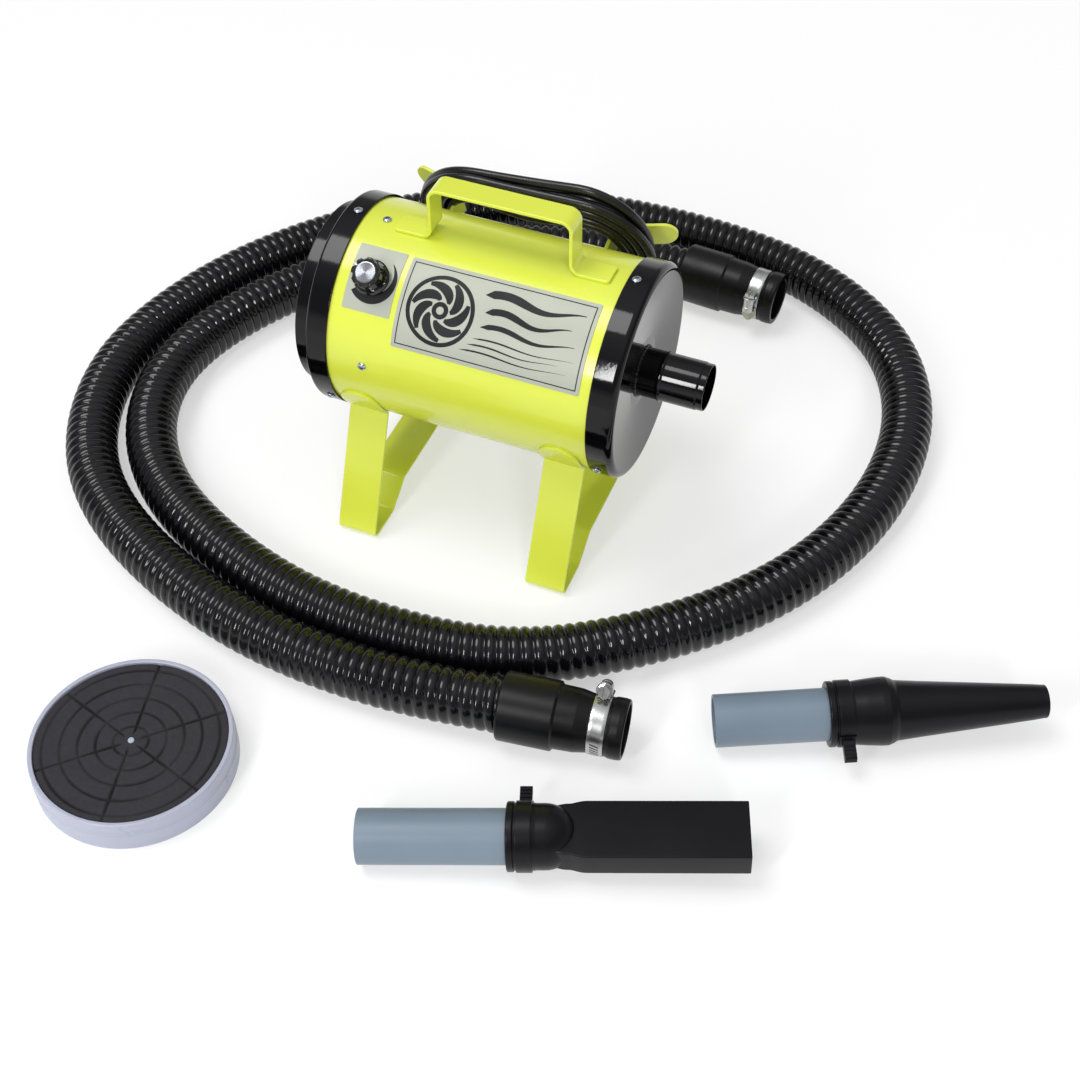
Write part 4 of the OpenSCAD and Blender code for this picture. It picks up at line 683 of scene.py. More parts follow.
spun_disc = finish("turned aluminium", (150, 152, 158), (176, 178, 184), (0.22, 0.28), patch=60, grain=1500,
                   bump=0.0, Metallic=1.0, Anisotropic=0.85)
n, link = spun_disc.node_tree.nodes, spun_disc.node_tree.links.new
marks = n.new("ShaderNodeTangent")
marks.direction_type, marks.uv_map = "UV_MAP", "lathe marks"
link(marks.outputs[0], n["Principled BSDF"].inputs["Tangent"])
put("knob_disc_turned", disc_mesh, spun_disc, ["knob_disc"], body="knob")


# Hose cuffs: two soft black rubber cuffs, each with a wide end that the hose is glued into and a
# narrow end that stretches over a tube. A seat is moulded round it for the clamp.
TOOL_MOUTH, TOOL_IN, TOOL_SEAT = (110.3, -257.3, 28.5), (146.3, -252.3, 28.5), 23.65
MACHINE_MOUTH, MACHINE_IN, MACHINE_SEAT = (72.0, 317.3, 29.2), (108.0, 314.3, 29.2), 24.85


def at_cuff(mouth, inner, turn=0.0):
    """A place at a cuff's hose end, with Z towards its open end, and Y up, turned about Z."""
    a = math.atan2(inner[1] - mouth[1], inner[0] - mouth[0])
    return turned(place(mouth, (math.cos(a), math.sin(a), 0), (-math.sin(a), math.cos(a), 0)), turn)


cuff_rubber = finish("cuff rubber", (5, 5, 7), (11, 11, 13), (0.28, 0.4), patch=26, grain=950, bump=0.06,
                     Specular_IOR_Level=0.24)
for name, mouth, inner, seat, wide, bore in (
        ("tool", TOOL_MOUTH, TOOL_IN, TOOL_SEAT, 28.3, 21.25),
        ("machine", MACHINE_MOUTH, MACHINE_IN, MACHINE_SEAT, 29.0, 20.45)):
    put(name + "_cuff_moulded", lathe(name + "_cuff_moulded", [
        (23.8, 0, 0.5), (wide, 0, 2.6), (wide, 44.4, 0.6), (seat + 2.4, 46.0, 0.6), (seat + 1.9, 62.0, 6.0),
        (seat, 72.5, 0.5), (seat, 87.5, 0.5), (seat + 1.0, 90.5, 1.5), (seat + 1.15, 96.0, 3.0),
        (seat + 0.6, 101.0, 1.6), (bore, 101.0, 0.9), (bore, 38.6), (20.5, 36.8), (23.8, 36.8)],
        at_cuff(mouth, inner), turns=112), cuff_rubber, [name + "_cuff"])


# Hose clamps: a perforated band of stainless steel round each cuff, drawn tight by a slotted hex
# screw whose worm bites the band's slots inside a pressed housing. The band's tail stands out.
CLAMP_Z, BAND_OUT = 80.0, 0.75


def band(name, radius, where, first, last):
    """A clamp's band, with slanted slots along a part of it."""
    pitch, gap = math.degrees(3.0 / radius), math.degrees(1.3 / radius)
    angles, open_at = [], set()
    at = 0.0
    for slot in list(np.arange(first, last, pitch)) + [360.0]:
        while at < slot - 2.0:
            angles.append(at)
            at += min(3.0, slot - at)
        if slot < 360:
            open_at.add(len(angles))
            angles += [slot, slot + gap]
            at = slot + gap + 0.5 * (pitch - gap)
    angles = np.array(angles)
    n, rows = len(angles), (-6.5, -6.2, -3.6, 3.6, 6.2, 6.5)
    verts = []
    for shell, swell in ((BAND_OUT, -0.12), (0.05, 0.12)):
        for z in rows:
            r = radius + shell + (swell if abs(z) > 6.4 else 0)
            verts += [(r * math.cos(b), r * math.sin(b), CLAMP_Z + z)
                      for b in np.radians(angles) + math.copysign(1.0 / radius, z)]
    faces = []
    o, last_row = len(rows) * n, (len(rows) - 1) * n
    for i in range(n):
        k = (i + 1) % n
        for j in range(len(rows) - 1):
            a, b, c, d = j * n + i, j * n + k, (j + 1) * n + k, (j + 1) * n + i
            if j == 2 and i in open_at:
                faces += [(a, b, b + o, a + o), (b, c, c + o, b + o), (c, d, d + o, c + o),
                          (d, a, a + o, d + o)]
            else:
                faces += [(a, b, c, d), (a + o, d + o, c + o, b + o)]
        faces += [(i, i + o, k + o, k), (last_row + i, last_row + k, last_row + k + o, last_row + i + o)]
    return make_mesh(name, placed(verts, where), faces, 40)


def loft(name, rings, where, closed=False, sharp=35):
    """A skin through rings of the piece's own points."""
    return make_mesh(name, *skin(placed(rings, where), closed), sharp)


clamp_steel = finish("stainless steel", (172, 173, 172), (206, 207, 205), (0.2, 0.34), patch=70, grain=1300,
                     bump=0.015, Metallic=1.0)
around = full_turn(60)
arch = np.where(np.cos(around) > 0, 5.5, np.minimum(5.5 / np.maximum(np.abs(np.sin(around)), 1e-6),
                                                   6.6 / np.maximum(-np.cos(around), 1e-6)))
hexagon = 5.6 * math.cos(math.pi / 6) / np.cos((around % (math.pi / 3)) - math.pi / 6)
worm_shape = [(-15.0, 2.4)]
worm_shape += [(z, 3.3 + 0.3 * np.sin(2 * np.pi * z / 1.6 - around)) for z in np.linspace(-14.5, -0.1, 70)]
worm_shape += [(0.0, 6.6), (0.15, 6.8), (1.0, 6.8), (1.2, 6.6), (1.2, hexagon * 0.99), (1.4, hexagon),
               (5.0, hexagon), (5.35, np.minimum(hexagon, 5.3)), (5.7, np.minimum(hexagon, 4.7)), (5.7, 1.0)]
worm_rings = [round_rings(radii, z, around) for z, radii in worm_shape]
for name, mouth, inner, seat, turn, side, slots in (
        ("tool", TOOL_MOUTH, TOOL_IN, TOOL_SEAT, -35.0, -1, (204, 300)),
        ("machine", MACHINE_MOUTH, MACHINE_IN, MACHINE_SEAT, 75.0, 1, (150, 216))):
    where = at_cuff(mouth, inner, turn)
    worm_y = seat + BAND_OUT + 6.4
    box = [np.stack([x + 0 * around, worm_y + radii * np.cos(around), CLAMP_Z + radii * np.sin(around)], -1)
           for x, radii in ((-6.5, arch * 0.94), (-6.1, arch), (-2.0, arch), (-1.7, arch * 0.95),
                            (1.7, arch * 0.95), (2.0, arch), (6.1, arch), (6.5, arch * 0.94),
                            (6.5, 3.7), (-6.5, 3.7))]
    tail = [[(-side * (4 + u), seat + lift + 0.05 * u, CLAMP_Z + s * w)
             for s, lift in ((-1, 0.8), (1, 0.8), (1, 1.45), (-1, 1.45))]
            for u, w in ((0, 6.5), (9, 6.5), (13, 3.6), (14.6, 0.6))]
    put(name + "_clamp_band", join(name + "_clamp_band", band("band", seat, where, *slots),
                                   loft("worm box", box, where, True, 30),
                                   loft("tail", tail, where, sharp=25)),
        clamp_steel, [name + "_clamp"])
    axis = place(placed([(side * 6.9, worm_y, CLAMP_Z)], where)[0], where[0][0] * side, where[0][1])
    worm = carve(loft(name + "_worm_screw", worm_rings, axis, sharp=28), 28,
                 (block("slot", (-7, -0.7, 3.9), (7, 0.7, 8), axis), "DIFFERENCE"))
    put(name + "_worm_screw", worm, clamp_steel, [name + "_clamp_screw"], body=name + "_screw")


# Hose: a long black vinyl hose, moulded with a screw-shaped rib all the way along, so that it
# bends without kinking. It lies on the floor round the dryer, with its ends glued into the cuffs.
HOSE = [[146.3, -252.3, 28.5], [110.3, -257.3, 28.5], [30, -266, 25], [-50, -267, 24], [-128, -257, 24],
        [-209, -232, 24], [-279, -197, 24], [-336, -150, 24], [-375, -88, 24], [-394, -10, 24],
        [-383, 78, 24], [-350, 161, 24], [-296, 240, 24], [-225, 309, 24], [-140, 354, 24],
        [-50, 378, 24], [40, 384, 24], [110, 379, 24], [172, 365, 24], [232, 336, 24],
        [288, 287, 24], [329, 203, 24], [336, 110, 24], [312, 10, 24], [262, -76, 24],
        [190, -148, 24], [100, -203, 24], [0, -221, 24], [-100, -214, 24], [-190, -186, 24],
        [-264, -144, 24], [-318, -82, 24], [-342, 0, 24], [-322, 92, 24], [-276, 170, 24],
        [-205, 240, 24], [-120, 290, 25], [-30, 315, 27], [38, 319, 29.2],
        [72, 317.3, 29.2], [108, 314.3, 29.2]]


def smooth_route(points, step):
    """Points a step apart on the smooth curve through the route's points, and its length."""
    p = np.array(points, float)
    at = np.r_[0, np.cumsum(np.linalg.norm(np.diff(p, axis=0), axis=1))]
    n, h = len(p), np.diff(at)
    a, b = np.eye(n), np.zeros((n, 3))
    for i in range(1, n - 1):
        a[i, i - 1:i + 2] = h[i - 1], 2 * (h[i - 1] + h[i]), h[i]
        b[i] = 6 * ((p[i + 1] - p[i]) / h[i] - (p[i] - p[i - 1]) / h[i - 1])
    m = np.linalg.solve(a, b)
    t = np.linspace(0, at[-1], int(at[-1] * 2))
    k = np.clip(np.searchsorted(at, t) - 1, 0, n - 2)
    u, v, w = (at[k + 1] - t)[:, None], (t - at[k])[:, None], h[k][:, None]
    curve = (m[k] * u ** 3 + m[k + 1] * v ** 3) / (6 * w) + (p[k] / w - m[k] * w / 6) * u \
        + (p[k + 1] / w - m[k + 1] * w / 6) * v
    run = np.r_[0, np.cumsum(np.linalg.norm(np.diff(curve, axis=0), axis=1))]
    stops = np.linspace(0, run[-1], max(2, round(run[-1] / step) + 1))
    return np.stack([np.interp(stops, run, curve[:, c]) for c in range(3)], 1), run[-1]


def sides_of(path, first=(0, 0, 1)):
    """Two directions across a path at each of its points, without twist."""
    tangent = np.gradient(path, axis=0)
    tangent /= np.linalg.norm(tangent, axis=1)[:, None]
    normal, side = np.empty_like(path), np.array(first, float)
    for i, t in enumerate(tangent):
        side = side - (side @ t) * t
        side /= np.linalg.norm(side)
        normal[i] = side
    return normal, np.cross(tangent, normal)


hose_path, hose_len = smooth_route(HOSE, 1.0)
hose_up, hose_across = sides_of(hose_path)
RIB_PITCH, RIB_STEPS, HOSE_SIDES = 9.7, 7, 36
RIB_R, RIB_H = 21.2, 2.3
rows = int((hose_len - RIB_PITCH) / RIB_PITCH * RIB_STEPS)
row, side = np.meshgrid(np.arange(rows), np.arange(HOSE_SIDES), indexing="ij")
way = (row * RIB_PITCH / RIB_STEPS + side * RIB_PITCH / HOSE_SIDES).ravel()
turn = (side * 2 * np.pi / HOSE_SIDES).ravel()
crest = RIB_R + RIB_H * np.sin(np.pi * ((row.ravel() % RIB_STEPS) / RIB_STEPS)) ** 0.8
stops = np.linspace(0, hose_len, len(hose_path))
centre, up, across = (np.stack([np.interp(way, stops, part[:, c]) for c in range(3)], 1)
                      for part in (hose_path, hose_up, hose_across))
hose_verts = centre + crest[:, None] * (np.cos(turn)[:, None] * up + np.sin(turn)[:, None] * across)
hose_faces = []
for i in range(rows - 1):
    base = i * HOSE_SIDES
    hose_faces += [(base + k, base + k + 1, base + k + 1 + HOSE_SIDES, base + k + HOSE_SIDES)
                   for k in range(HOSE_SIDES - 1)]
    if i + 1 + RIB_STEPS < rows:
        hose_faces.append((base + HOSE_SIDES - 1, base + HOSE_SIDES * RIB_STEPS,
                           base + HOSE_SIDES * (RIB_STEPS + 1), base + 2 * HOSE_SIDES - 1))
hose_faces.append(tuple(i * HOSE_SIDES for i in range(1, RIB_STEPS + 1))
                  + tuple(range(HOSE_SIDES - 1, -1, -1)))
hose_faces.append(tuple((rows - 1) * HOSE_SIDES + k for k in range(HOSE_SIDES))
                  + tuple((rows - j) * HOSE_SIDES - 1 for j in range(1, RIB_STEPS + 1)))
black_vinyl = finish("black vinyl", (5, 5, 7), (11, 11, 14), (0.1, 0.19), patch=30, grain=420, bump=0.05,
                     Specular_IOR_Level=0.4)
hose = put("hose_ribbed", make_mesh("hose_ribbed", hose_verts, hose_faces, 80), black_vinyl,
           ["hose"])


# Strain relief: a rubber boot that is clipped into the housing under its rear end, with a round
# flange and rings cut into its taper so that it bends with the cord.
boot = [(0, 88.0), (4.8, 88.0), (4.8, 89.6), (10.0, 89.6, 0.4), (10.0, 91.5, 0.7), (7.6, 92.1, 0.5)]
for ring in range(5):
    z, r = 94.0 + ring * 4.6, 7.5 - ring * 0.42
    boot += [(r, z, 0.3), (r - 1.3, z + 0.5, 0.3), (r - 1.3, z + 1.7, 0.3), (r - 0.1, z + 2.2, 0.3)]
boot += [(5.4, 118.6, 0.5), (4.2, 119.0), (0, 119.0)]
cord_rubber = finish("cord rubber", (8, 8, 9), (20, 20, 22), (0.2, 0.34), patch=40, grain=700, bump=0.04)
relief = put("strain_relief_boot", lathe("strain_relief_boot", boot, out_back(-92.0, 150.0), closed=False,
                                         turns=64), cord_rubber, ["strain_relief"])


# Plug: a moulded rubber plug on the cord's end, with a waist to grip it by, two flat plated blades
# and a round earth pin.
plug_at = place((40.0, 125.0, 86.0), (0, 0, -1), (1, 0, 0))


def rounded_ring(half_x, half_y, radius, z, count=48):
    """A ring of a rounded box, as equally many points for any size."""
    ring = []
    for k in range(count):
        a = 2 * math.pi * (k + 0.5) / count
        sx, sy = ((1, 1), (-1, 1), (-1, -1), (1, -1))[k // (count // 4)]
        ring.append((sx * (half_x - radius) + radius * math.cos(a),
                     sy * (half_y - radius) + radius * math.sin(a), z))
    return ring


plug_rings = [rounded_ring(*ring) for ring in (
    (4.2, 4.2, 4.2, -2.0), (5.3, 5.3, 5.3, -1.6), (5.5, 5.5, 5.5, 0), (5.8, 5.8, 5.8, 3),
    (5.0, 5.0, 5.0, 3.4), (5.0, 5.0, 5.0, 4.4), (6.2, 6.2, 6.2, 4.8), (6.6, 6.6, 6.6, 8),
    (8.6, 7.6, 6.8, 11), (11.6, 9.8, 6.0, 14), (12.8, 10.8, 5.0, 17), (12.9, 10.9, 4.6, 20),
    (11.6, 10.4, 4.6, 24), (11.6, 10.4, 4.4, 30), (12.9, 10.9, 4.0, 34), (13.0, 11.0, 3.6, 36),
    (13.0, 11.0, 3.4, 39.2), (12.6, 10.6, 3.2, 39.8), (12.0, 10.0, 3.0, 40.0))]
plug = put("plug_moulded", loft("plug_moulded", plug_rings, plug_at, sharp=50), cord_rubber,
           ["plug_body"])
dress(finish("plated brass", (186, 180, 160), (214, 208, 190), (0.16, 0.28), patch=90, grain=1300, bump=0.01,
             Metallic=1.0), "plug_blades")


# Power cord: a round black rubber mains lead. It leaves the housing through the boot, is wound in
# eight long turns on the cleat, one layer askew on the other, and ends in its plug, hanging free.
LEAD = [[-92, 51.5, 86.8], [-92, 59.5, 72.9], [-89, 67, 60], [-80, 74.5, 50], [-66, 84, 45], [-53, 95, 46],
        [-43, 107, 54], [-36, 117, 67], [-33, 124, 83], [-32.5, 127.5, 100], [-32, 127, 116], [-28, 125, 131],
        [-18, 122.5, 141]]
TAIL = [[20.3, 129, 145.2], [31.3, 128.5, 134.2], [36, 127.5, 119.2], [38.5, 126, 104], [40, 125, 94],
        [40, 125, 86]]
TURNS, TURN_POINTS = 8, 24
CORD_R, CORD_SIDES = 4.0, 14
INNER_W, INNER_L, GROW_W, GROW_L = 25.5, 78.2, 36, 32.3
WINDING_X, WINDING_UP, WINDING_OUT, LAYER = -7, -2.7, 106.7, 8.6
back_up, back_out = -cleat_at[0][1], cleat_at[0][2]
winding = []
for i in range(TURNS * TURN_POINTS + 1):
    done = i / TURN_POINTS
    outer = abs(done - TURNS / 2) / (TURNS / 2)
    layer = 1 / (1 + math.exp(-7 * (done - TURNS / 2)))
    half_w, half_l = INNER_W + GROW_W * outer, INNER_L + GROW_L * outer
    straight, arc = 2 * (half_l - half_w), math.pi * half_w
    half_turn, s = divmod((done % 1.0) * 2 * (straight + arc) + straight / 2 + 6, straight + arc)
    side = -1 if half_turn % 2 else 1
    bend = max(s - straight, 0) / half_w
    u = side * (min(s, straight) - straight / 2 + half_w * math.sin(bend))
    v = -side * half_w * math.cos(bend)
    askew = math.radians((8.5 * layer - 1.0) * min(1, 0.3 + outer) + 1.5 * math.sin(2.1 * done))
    u, v = u * math.cos(askew) - v * math.sin(askew), u * math.sin(askew) + v * math.cos(askew)
    sag = (10 if v > 0 else 2.5) * (1 - outer) ** 1.5 * max(1 - (2 * u / straight) ** 2, 0) ** 2
    lift = 3 * outer * layer * max(v / half_w, 0) - sag * abs(v) / half_w
    winding.append(np.array([WINDING_X + u, 0, AXIS_H]) + (v + WINDING_UP + lift) * back_up
                   + (WINDING_OUT + LAYER * layer) * back_out)
cord_path, cord_len = smooth_route(LEAD + [p.tolist() for p in winding] + TAIL, 3.6)
cord_up, cord_across = sides_of(cord_path, (1, 0, 0))
cord_turn = full_turn(CORD_SIDES)
cord_rings = cord_path[:, None] + CORD_R * (np.cos(cord_turn)[:, None] * cord_up[:, None]
                                            + np.sin(cord_turn)[:, None] * cord_across[:, None])
cord = put("power_cord", make_mesh("power_cord", *skin(cord_rings), sharp=80), cord_rubber,
           ["cord_lead", "cord_hank", "cord_tail"])


# Filter cap: a milky plastic cap that snaps over the intake ring, moulded in one piece with the grid
# behind the foam. It lies on the floor with its foam upwards.
GRID_STEP, FIRST_SPOKE = 13.8, 44.0
GRID_LOW, GRID_TOP, GRID_HALF = 15.5, 18.0, 1.25
filter_at = place((-145, -396.5, 0), (0, 0, 1), (1, 0, 0))
milky = finish("milky plastic", (160, 164, 181), (175, 179, 196), (0.26, 0.4), patch=20, grain=600, bump=0.03,
               Subsurface_Weight=0.35, Subsurface_Scale=0.004)
put("filter_cap_moulded", join(
    "filter_cap_moulded",
    lathe("cap", [(78.8, 0, 0.3), (80.4, 0, 0.5), (80.4, 16.4, 0.6), (79.9, 17.2, 0.3), (79.9, 18.6, 0.3),
                  (79.6, 20.4, 0.6), (79.6, 30.0, 1.2), (75.8, 30.0, 0.8), (75.8, GRID_LOW, 0.3),
                  (78.8, GRID_LOW, 0.8)], filter_at, turns=192),
    in_circle("filter_grid", round_bar("grid bar", GRID_HALF, 2.4, 0.4, GRID_LOW + 0.05, (6.0, 76.4)), 6,
              0.0, FIRST_SPOKE, milky, filter_at),
    lathe("grid hub", [(2.7, GRID_LOW, 0.2), (6.6, GRID_LOW, 0.3), (6.6, GRID_TOP, 0.3),
                       (2.7, GRID_TOP, 0.2)], filter_at),
    *[lathe("grid ring", [(r - GRID_HALF, GRID_LOW, 0.4), (r + GRID_HALF, GRID_LOW, 0.4),
                          (r + GRID_HALF, GRID_TOP, 0.4), (r - GRID_HALF, GRID_TOP, 0.4)], filter_at)
      for r in np.arange(1, 6) * GRID_STEP]), milky, ["filter_cap"])
put("filter_pin_moulded", lathe("filter_pin_moulded", [
    (0, 13.6), (4.2, 13.6, 0.3), (4.2, 15.3, 0.3), (2.6, 15.3, 0.2), (2.6, 29.3, 0.9), (0, 29.5)], filter_at,
    closed=False, turns=40), milky, ["filter_pin"])


# Filter foam: a round pad of open-cell grey foam in the cap. The grid has pressed its rings and
# spokes into it, and painted shade darkens the foam's colour in those grooves.
GROOVE = 1.05
foam_r = np.r_[2.8, 3.4, 4.2, np.arange(5.0, 75.0, 0.75), 75.0, 75.3, 75.45][:, None]
foam_turn = full_turn(480)
near_ring = np.abs((foam_r + GRID_STEP / 2) % GRID_STEP - GRID_STEP / 2)
ring_dip = np.where((foam_r > 7) & (foam_r < 73), np.exp(-(near_ring / GROOVE) ** 2), 0.0)
near_spoke = (foam_turn - math.radians(FIRST_SPOKE) + math.pi / 6) % (math.pi / 3) - math.pi / 6
near_spoke = foam_r * np.sin(near_spoke)
spoke_dip = np.exp(-(near_spoke / GROOVE) ** 2) * np.clip((foam_r - 5) / 6, 0, 1)
uneven = 0.75 + 0.25 * np.sin(foam_turn * 3 + foam_r * 0.11)
foam_top = 28.05 - 2.0 * uneven * np.maximum(ring_dip * 0.75, spoke_dip) \
    + 0.12 * np.sin(foam_turn * 5 + foam_r * 0.2) - np.where(foam_r > 75.1, (foam_r - 75.1) * 2.5, 0)
foam_back = np.array([(75.5, 26.6), (75.5, 18.5), (75.2, 18.05), (2.8, 18.05)])
foam_rings = np.r_[round_rings(foam_r, foam_top, foam_turn),
                   round_rings(foam_back[:, :1], foam_back[:, 1:], foam_turn)]
grey_foam = finish("grey foam", (45, 44, 48), (60, 59, 63), (0.85, 0.98), patch=240, grain=1150, bump=0.7,
                   Specular_IOR_Level=0.2)
foam_pad = loft("filter_foam_pad", foam_rings, filter_at, True, 60)
# The pressed attribute marks how deep each point lies in a groove, as the mask for painted shade.
pressed = foam_pad.attributes.new("pressed", "FLOAT", "POINT")
for vertex, spot in zip(foam_pad.vertices, pressed.data):
    depth = 28.0 - vertex.co[2] * 1000
    spot.value = min(max(depth / 1.3, 0), 1) if depth < 2.6 else 0
# Painted shade: the foam's colour is multiplied darker wherever the mask marks a groove.
n, link = grey_foam.node_tree.nodes, grey_foam.node_tree.links.new
groove_shade_lookup, shaded = n.new("ShaderNodeAttribute"), n.new("ShaderNodeMix")
groove_shade_lookup.attribute_name = "pressed"
shaded.data_type, shaded.blend_type = "RGBA", "MULTIPLY"
shaded.inputs[7].default_value = (0.42, 0.42, 0.43, 1)
link(groove_shade_lookup.outputs["Fac"], shaded.inputs[0])
link(n["tone and grain"].outputs["Color"], shaded.inputs[6])
link(shaded.outputs[2], n["Principled BSDF"].inputs["Base Color"])
put("filter_foam_pad", foam_pad, grey_foam, ["filter_foam"])


# Nozzle tubes: two lengths of grey plastic pipe, sawn square and pushed into the nozzles.
PIPE_R, PIPE_BORE = 21.1, 18.5
CONE_TUBE, FLAT_TUBE = 89.0, 112.0
STRAP_AT, STRAP_R = 7.0, 26.65


def at_nozzle(start, heading, length):
    """A place at a tube's open end, with Z along the nozzle, which lies on the tube and its strap."""
    h, rise = math.radians(heading), math.asin((STRAP_R - PIPE_R) / (length + STRAP_AT))
    return place((start[0], start[1], PIPE_R * math.cos(rise)),
                 (math.cos(h) * math.cos(rise), math.sin(h) * math.cos(rise), math.sin(rise)),
                 (-math.sin(h), math.cos(h), 0))


def further(where, z):
    """The same place, further along its Z."""
    return where[0], where[1] + where[0][2] * z


cone_at, flat_at = at_nozzle((270, -204.2), 23.7, CONE_TUBE), at_nozzle((55.2, -404.5), 20.1, FLAT_TUBE)
grey_pipe = finish("grey pipe", (104, 119, 133), (117, 133, 147), (0.32, 0.44), patch=14, grain=700,
                   bump=0.012)
for name, where, end in (("cone_tube", cone_at, CONE_TUBE + 32), ("flat_tube", flat_at, FLAT_TUBE + 32)):
    put(name + "_pipe", lathe(name + "_pipe", [
        (PIPE_BORE, 0, 0.35), (PIPE_R, 0, 0.3), (PIPE_R, end, 0.3), (PIPE_BORE, end, 0.3)], where, turns=112),
        grey_pipe, [name])


# Cone nozzle: a soft black rubber nozzle with a lipped cuff, a swelled collar and a long taper to a
# small round mouth.
NOZZLE_BORE, BORE_END = 21.15, 32.1
nozzle_rubber = finish("nozzle rubber", (6, 6, 9), (13, 13, 18), (0.26, 0.38), patch=18, grain=650, bump=0.06,
                       Specular_IOR_Level=0.22)
put("cone_nozzle_moulded", lathe("cone_nozzle_moulded", [
    (NOZZLE_BORE, 0, 0.6), (26.15, 0, 1.2), (26.15, 5.0, 0.8), (25.15, 5.6, 0.4), (25.15, 20.5, 0.4),
    (26.2, 30.0, 8.0), (27.2, 42.0, 6.0), (27.2, 47.0, 1.8), (25.6, 51.2, 1.2), (24.0, 54.0, 3.0),
    (22.2, 72.0, 30.0), (14.2, 162.0, 20.0), (13.2, 170.5, 3.0), (13.2, 173.0, 1.4), (9.8, 173.0, 1.2),
    (9.8, 165.0, 1.0), (19.5, 55.0, 6.0), (19.15, 36.0, 0.5), (19.15, BORE_END), (NOZZLE_BORE, BORE_END)],
    further(cone_at, CONE_TUBE), turns=128), nozzle_rubber, ["cone_nozzle"])


# Flat nozzle: a rubber nozzle with a round cuff that closes in a dome, run into a flat hollow head
# with a wide slot for its mouth.
def dome_arc(radius):
    """A quarter of a circle, from the dome's side nearly to its top."""
    return [(radius * math.cos(a), 28.5 + radius * math.sin(a))
            for a in np.linspace(0.0, math.pi / 2 * 0.985, 20)]


head_at = further(flat_at, FLAT_TUBE)
dome = lathe("flat_nozzle_moulded", [
    (0, 0), (26.15, 0, 1.2), (26.15, 5.0, 0.8), (25.15, 5.6, 0.4), (25.15, 19.6, 0.6), (24.75, 22.0, 1.0)]
    + dome_arc(24.75) + [(0, 53.25)], head_at, closed=False, turns=128)
head_rings = [rounded_ring(w, 11.5 - e, r, z, 64) for w, e, r, z in (
    (18.6, 0.8, 1.6, 28), (20.4, 0.4, 1.6, 35), (21.6, 0.1, 1.3, 41), (21.9, 0, 1.2, 44), (22.0, 0, 1.2, 47),
    (22.5, 0, 1.2, 49.5), (23.4, 0, 1.2, 52.5), (24.2, 0, 1.2, 56), (24.5, 0, 1.2, 60), (24.5, 0, 1.2, 66),
    (24.5, 0, 1.2, 120), (24.5, 0, 1.2, 178.6), (24.4, 0.05, 1.1, 179.5), (24.1, 0.4, 1.0, 180.0))]
slot_rings = [rounded_ring(w, h, 1.2, z, 64) for w, h, z in (
    (18.6, 8.4, 44), (19.2, 8.5, 50), (21.1, 8.5, 60), (21.5, 8.5, 66), (21.5, 8.5, 184))]
bore = lathe("bore", [(0, -1), (NOZZLE_BORE, -1), (NOZZLE_BORE, BORE_END), (0, BORE_END)], head_at,
             closed=False, turns=96)
hollow_dome = lathe("hollow dome", [(0, 10.0), (19.5, 10.0)] + dome_arc(20.75) + [(0, 49.25)], head_at,
                    closed=False, turns=96)
flat_nozzle = carve(dome, 32, (loft("head", head_rings, head_at, sharp=50), "UNION"), (bore, "DIFFERENCE"),
                    (hollow_dome, "DIFFERENCE"), (loft("slot", slot_rings, head_at), "DIFFERENCE"))
put("flat_nozzle_moulded", flat_nozzle, nozzle_rubber, ["flat_nozzle"])


# Nozzle straps: a rubber strap drawn round each nozzle's cuff through its own keeper, which holds
# the tube. Its tail stands out as a pull tab with grip ridges.
keeper = []
for t in np.radians(np.linspace(-13, 13, 15)):
    top = 28.4 - 6 * t * t
    section = outline([(25.3, -0.4, 0.2), (top, -0.4, 0.8), (top, 12.4, 0.8), (25.3, 12.4, 0.2)])
    keeper.append([(r * math.cos(t), r * math.sin(t), z) for r, z in section])
pull_widths = [(25.6, 3.8), (29.0, 3.6), (30.0, 3.0)]
for ridge in (32.0, 35.4, 38.6):
    pull_widths += [(ridge, 3.0), (ridge + 0.5, 3.7), (ridge + 1.3, 3.7), (ridge + 1.8, 3.0)]
pull_widths += [(42.3, 3.0), (42.8, 2.7), (43.1, 2.2)]
for name, where, angle, lean in (("cone", further(cone_at, CONE_TUBE + STRAP_AT), 180.0, 1.0),
                                 ("flat", further(flat_at, FLAT_TUBE + STRAP_AT), 0.0, 0.0)):
    spot = turned(where, angle)
    hoop = lathe("hoop", [(25.2, 0, 0.3), (STRAP_R, 0, 0.6), (STRAP_R, 12, 0.6), (25.2, 12, 0.3)], spot,
                 turns=112)
    pull = [[(x, lean * (x - 28) ** 2 * 0.015 + sy * w, 6 + sz * 4.8) for sy, sz in
             ((-1, -0.9), (-0.9, -1), (0.9, -1), (1, -0.9), (1, 0.9), (0.9, 1), (-0.9, 1), (-1, 0.9))]
            for x, w in pull_widths]
    put(name + "_strap_moulded", join(name + "_strap_moulded", hoop, loft("keeper", keeper, spot),
                                      loft("pull", pull, spot, sharp=30)),
        nozzle_rubber, [name + "_strap"])


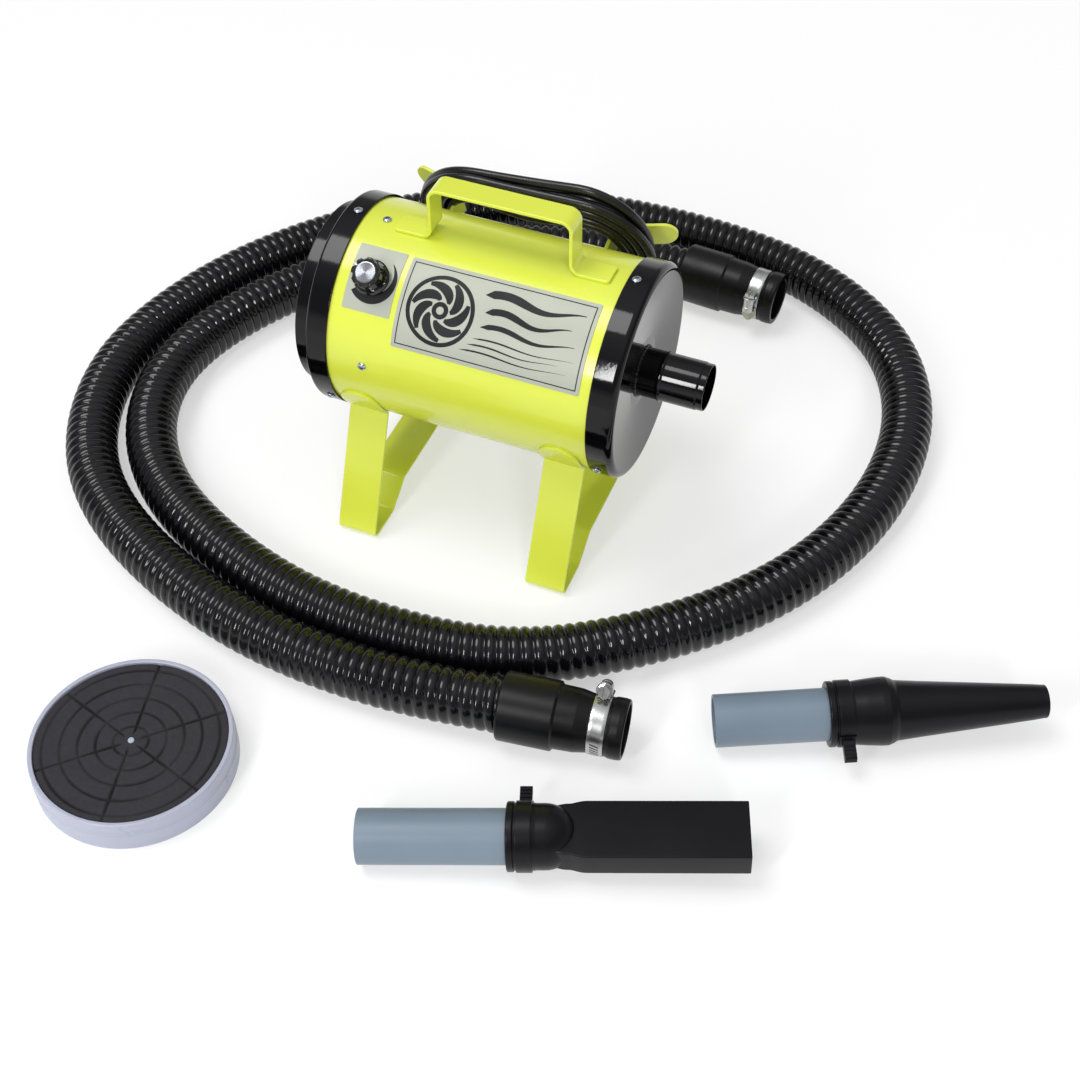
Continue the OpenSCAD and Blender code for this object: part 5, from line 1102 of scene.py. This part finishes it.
# Floor and light: a plain white floor before a pale horizon, under a grey sky, with one tall soft
# box by the camera and two suns wide enough for soft shadows, of which only the upper one is seen
# in gloss. The floor shows as paper white, with its shadows.
floor = new_object("floor", bpy.data.meshes.new("floor"))
floor.data.from_pydata([(-30, -30, 0), (30, -30, 0), (30, 30, 0), (-30, 30, 0)], [], [(0, 1, 2, 3)])
pale = bpy.data.materials.new("pale floor")
pale.use_nodes = True
n, link = pale.node_tree.nodes, pale.node_tree.links.new
n["Principled BSDF"].inputs["Base Color"].default_value = (0.94, 0.94, 0.94, 1)
n["Principled BSDF"].inputs["Roughness"].default_value = 0.8
ray, paper, blend = n.new("ShaderNodeLightPath"), n.new("ShaderNodeEmission"), n.new("ShaderNodeMixShader")
seen = ray.outputs["Is Camera Ray"]
for kind in ("Is Glossy Ray", "Is Transmission Ray"):
    either = n.new("ShaderNodeMath")
    either.operation = "MAXIMUM"
    link(seen, either.inputs[0])
    link(ray.outputs[kind], either.inputs[1])
    seen = either.outputs[0]
share = n.new("ShaderNodeMath")
share.operation = "MULTIPLY"
share.inputs[1].default_value = 0.5
link(seen, share.inputs[0])
link(share.outputs[0], blend.inputs["Fac"])
link(n["Principled BSDF"].outputs[0], blend.inputs[1])
link(paper.outputs[0], blend.inputs[2])
link(blend.outputs[0], n["Material Output"].inputs["Surface"])
floor.data.materials.append(pale)

sky = bpy.data.worlds.new("studio")
bpy.context.scene.world = sky
sky.use_nodes = True
n, link = sky.node_tree.nodes, sky.node_tree.links.new
direction, height = n.new("ShaderNodeTexCoord"), n.new("ShaderNodeSeparateXYZ")
shade = n.new("ShaderNodeValToRGB")
shade.color_ramp.elements[0].position, shade.color_ramp.elements[0].color = 0.1, (0.88, 0.88, 0.88, 1)
shade.color_ramp.elements[1].position, shade.color_ramp.elements[1].color = 1.0, (0.85, 0.85, 0.87, 1)
for position, level in ((0.24, 0.28), (0.6, 0.3)):
    shade.color_ramp.elements.new(position).color = (level, level, level * 1.02, 1)
link(direction.outputs["Generated"], height.inputs[0])
link(height.outputs["Z"], shade.inputs["Fac"])
link(shade.outputs["Color"], n["Background"].inputs["Color"])

for name, kind, spot, strength, size in (("tall box", "AREA", (-0.31, -1.85, 1.38), 15.0, (0.2, 0.7)),
                                         ("fill sun", "SUN", (0.75, -1.0, 0.9), 0.7, 12),
                                         ("top sun", "SUN", (-0.4, -0.1, 1.3), 1.2, 28)):
    lamp = new_object(name, bpy.data.lights.new(name, kind))
    lamp.data.energy = strength
    if kind == "SUN":
        lamp.data.angle = math.radians(size)
        lamp.visible_glossy = name != "fill sun"
    else:
        lamp.data.shape, lamp.data.size, lamp.data.size_y = "RECTANGLE", size[0], size[1]
    away = np.array(spot) - (0.1, 0, 0.1)
    away /= np.linalg.norm(away)
    right = np.cross((0, 0, 1), away)
    right /= np.linalg.norm(right)
    lamp.matrix_world = Matrix.Translation(spot) @ Matrix(np.stack(
        [right, np.cross(away, right), away], 1).tolist()).to_4x4()
bpy.context.scene.view_settings.view_transform = "Standard"
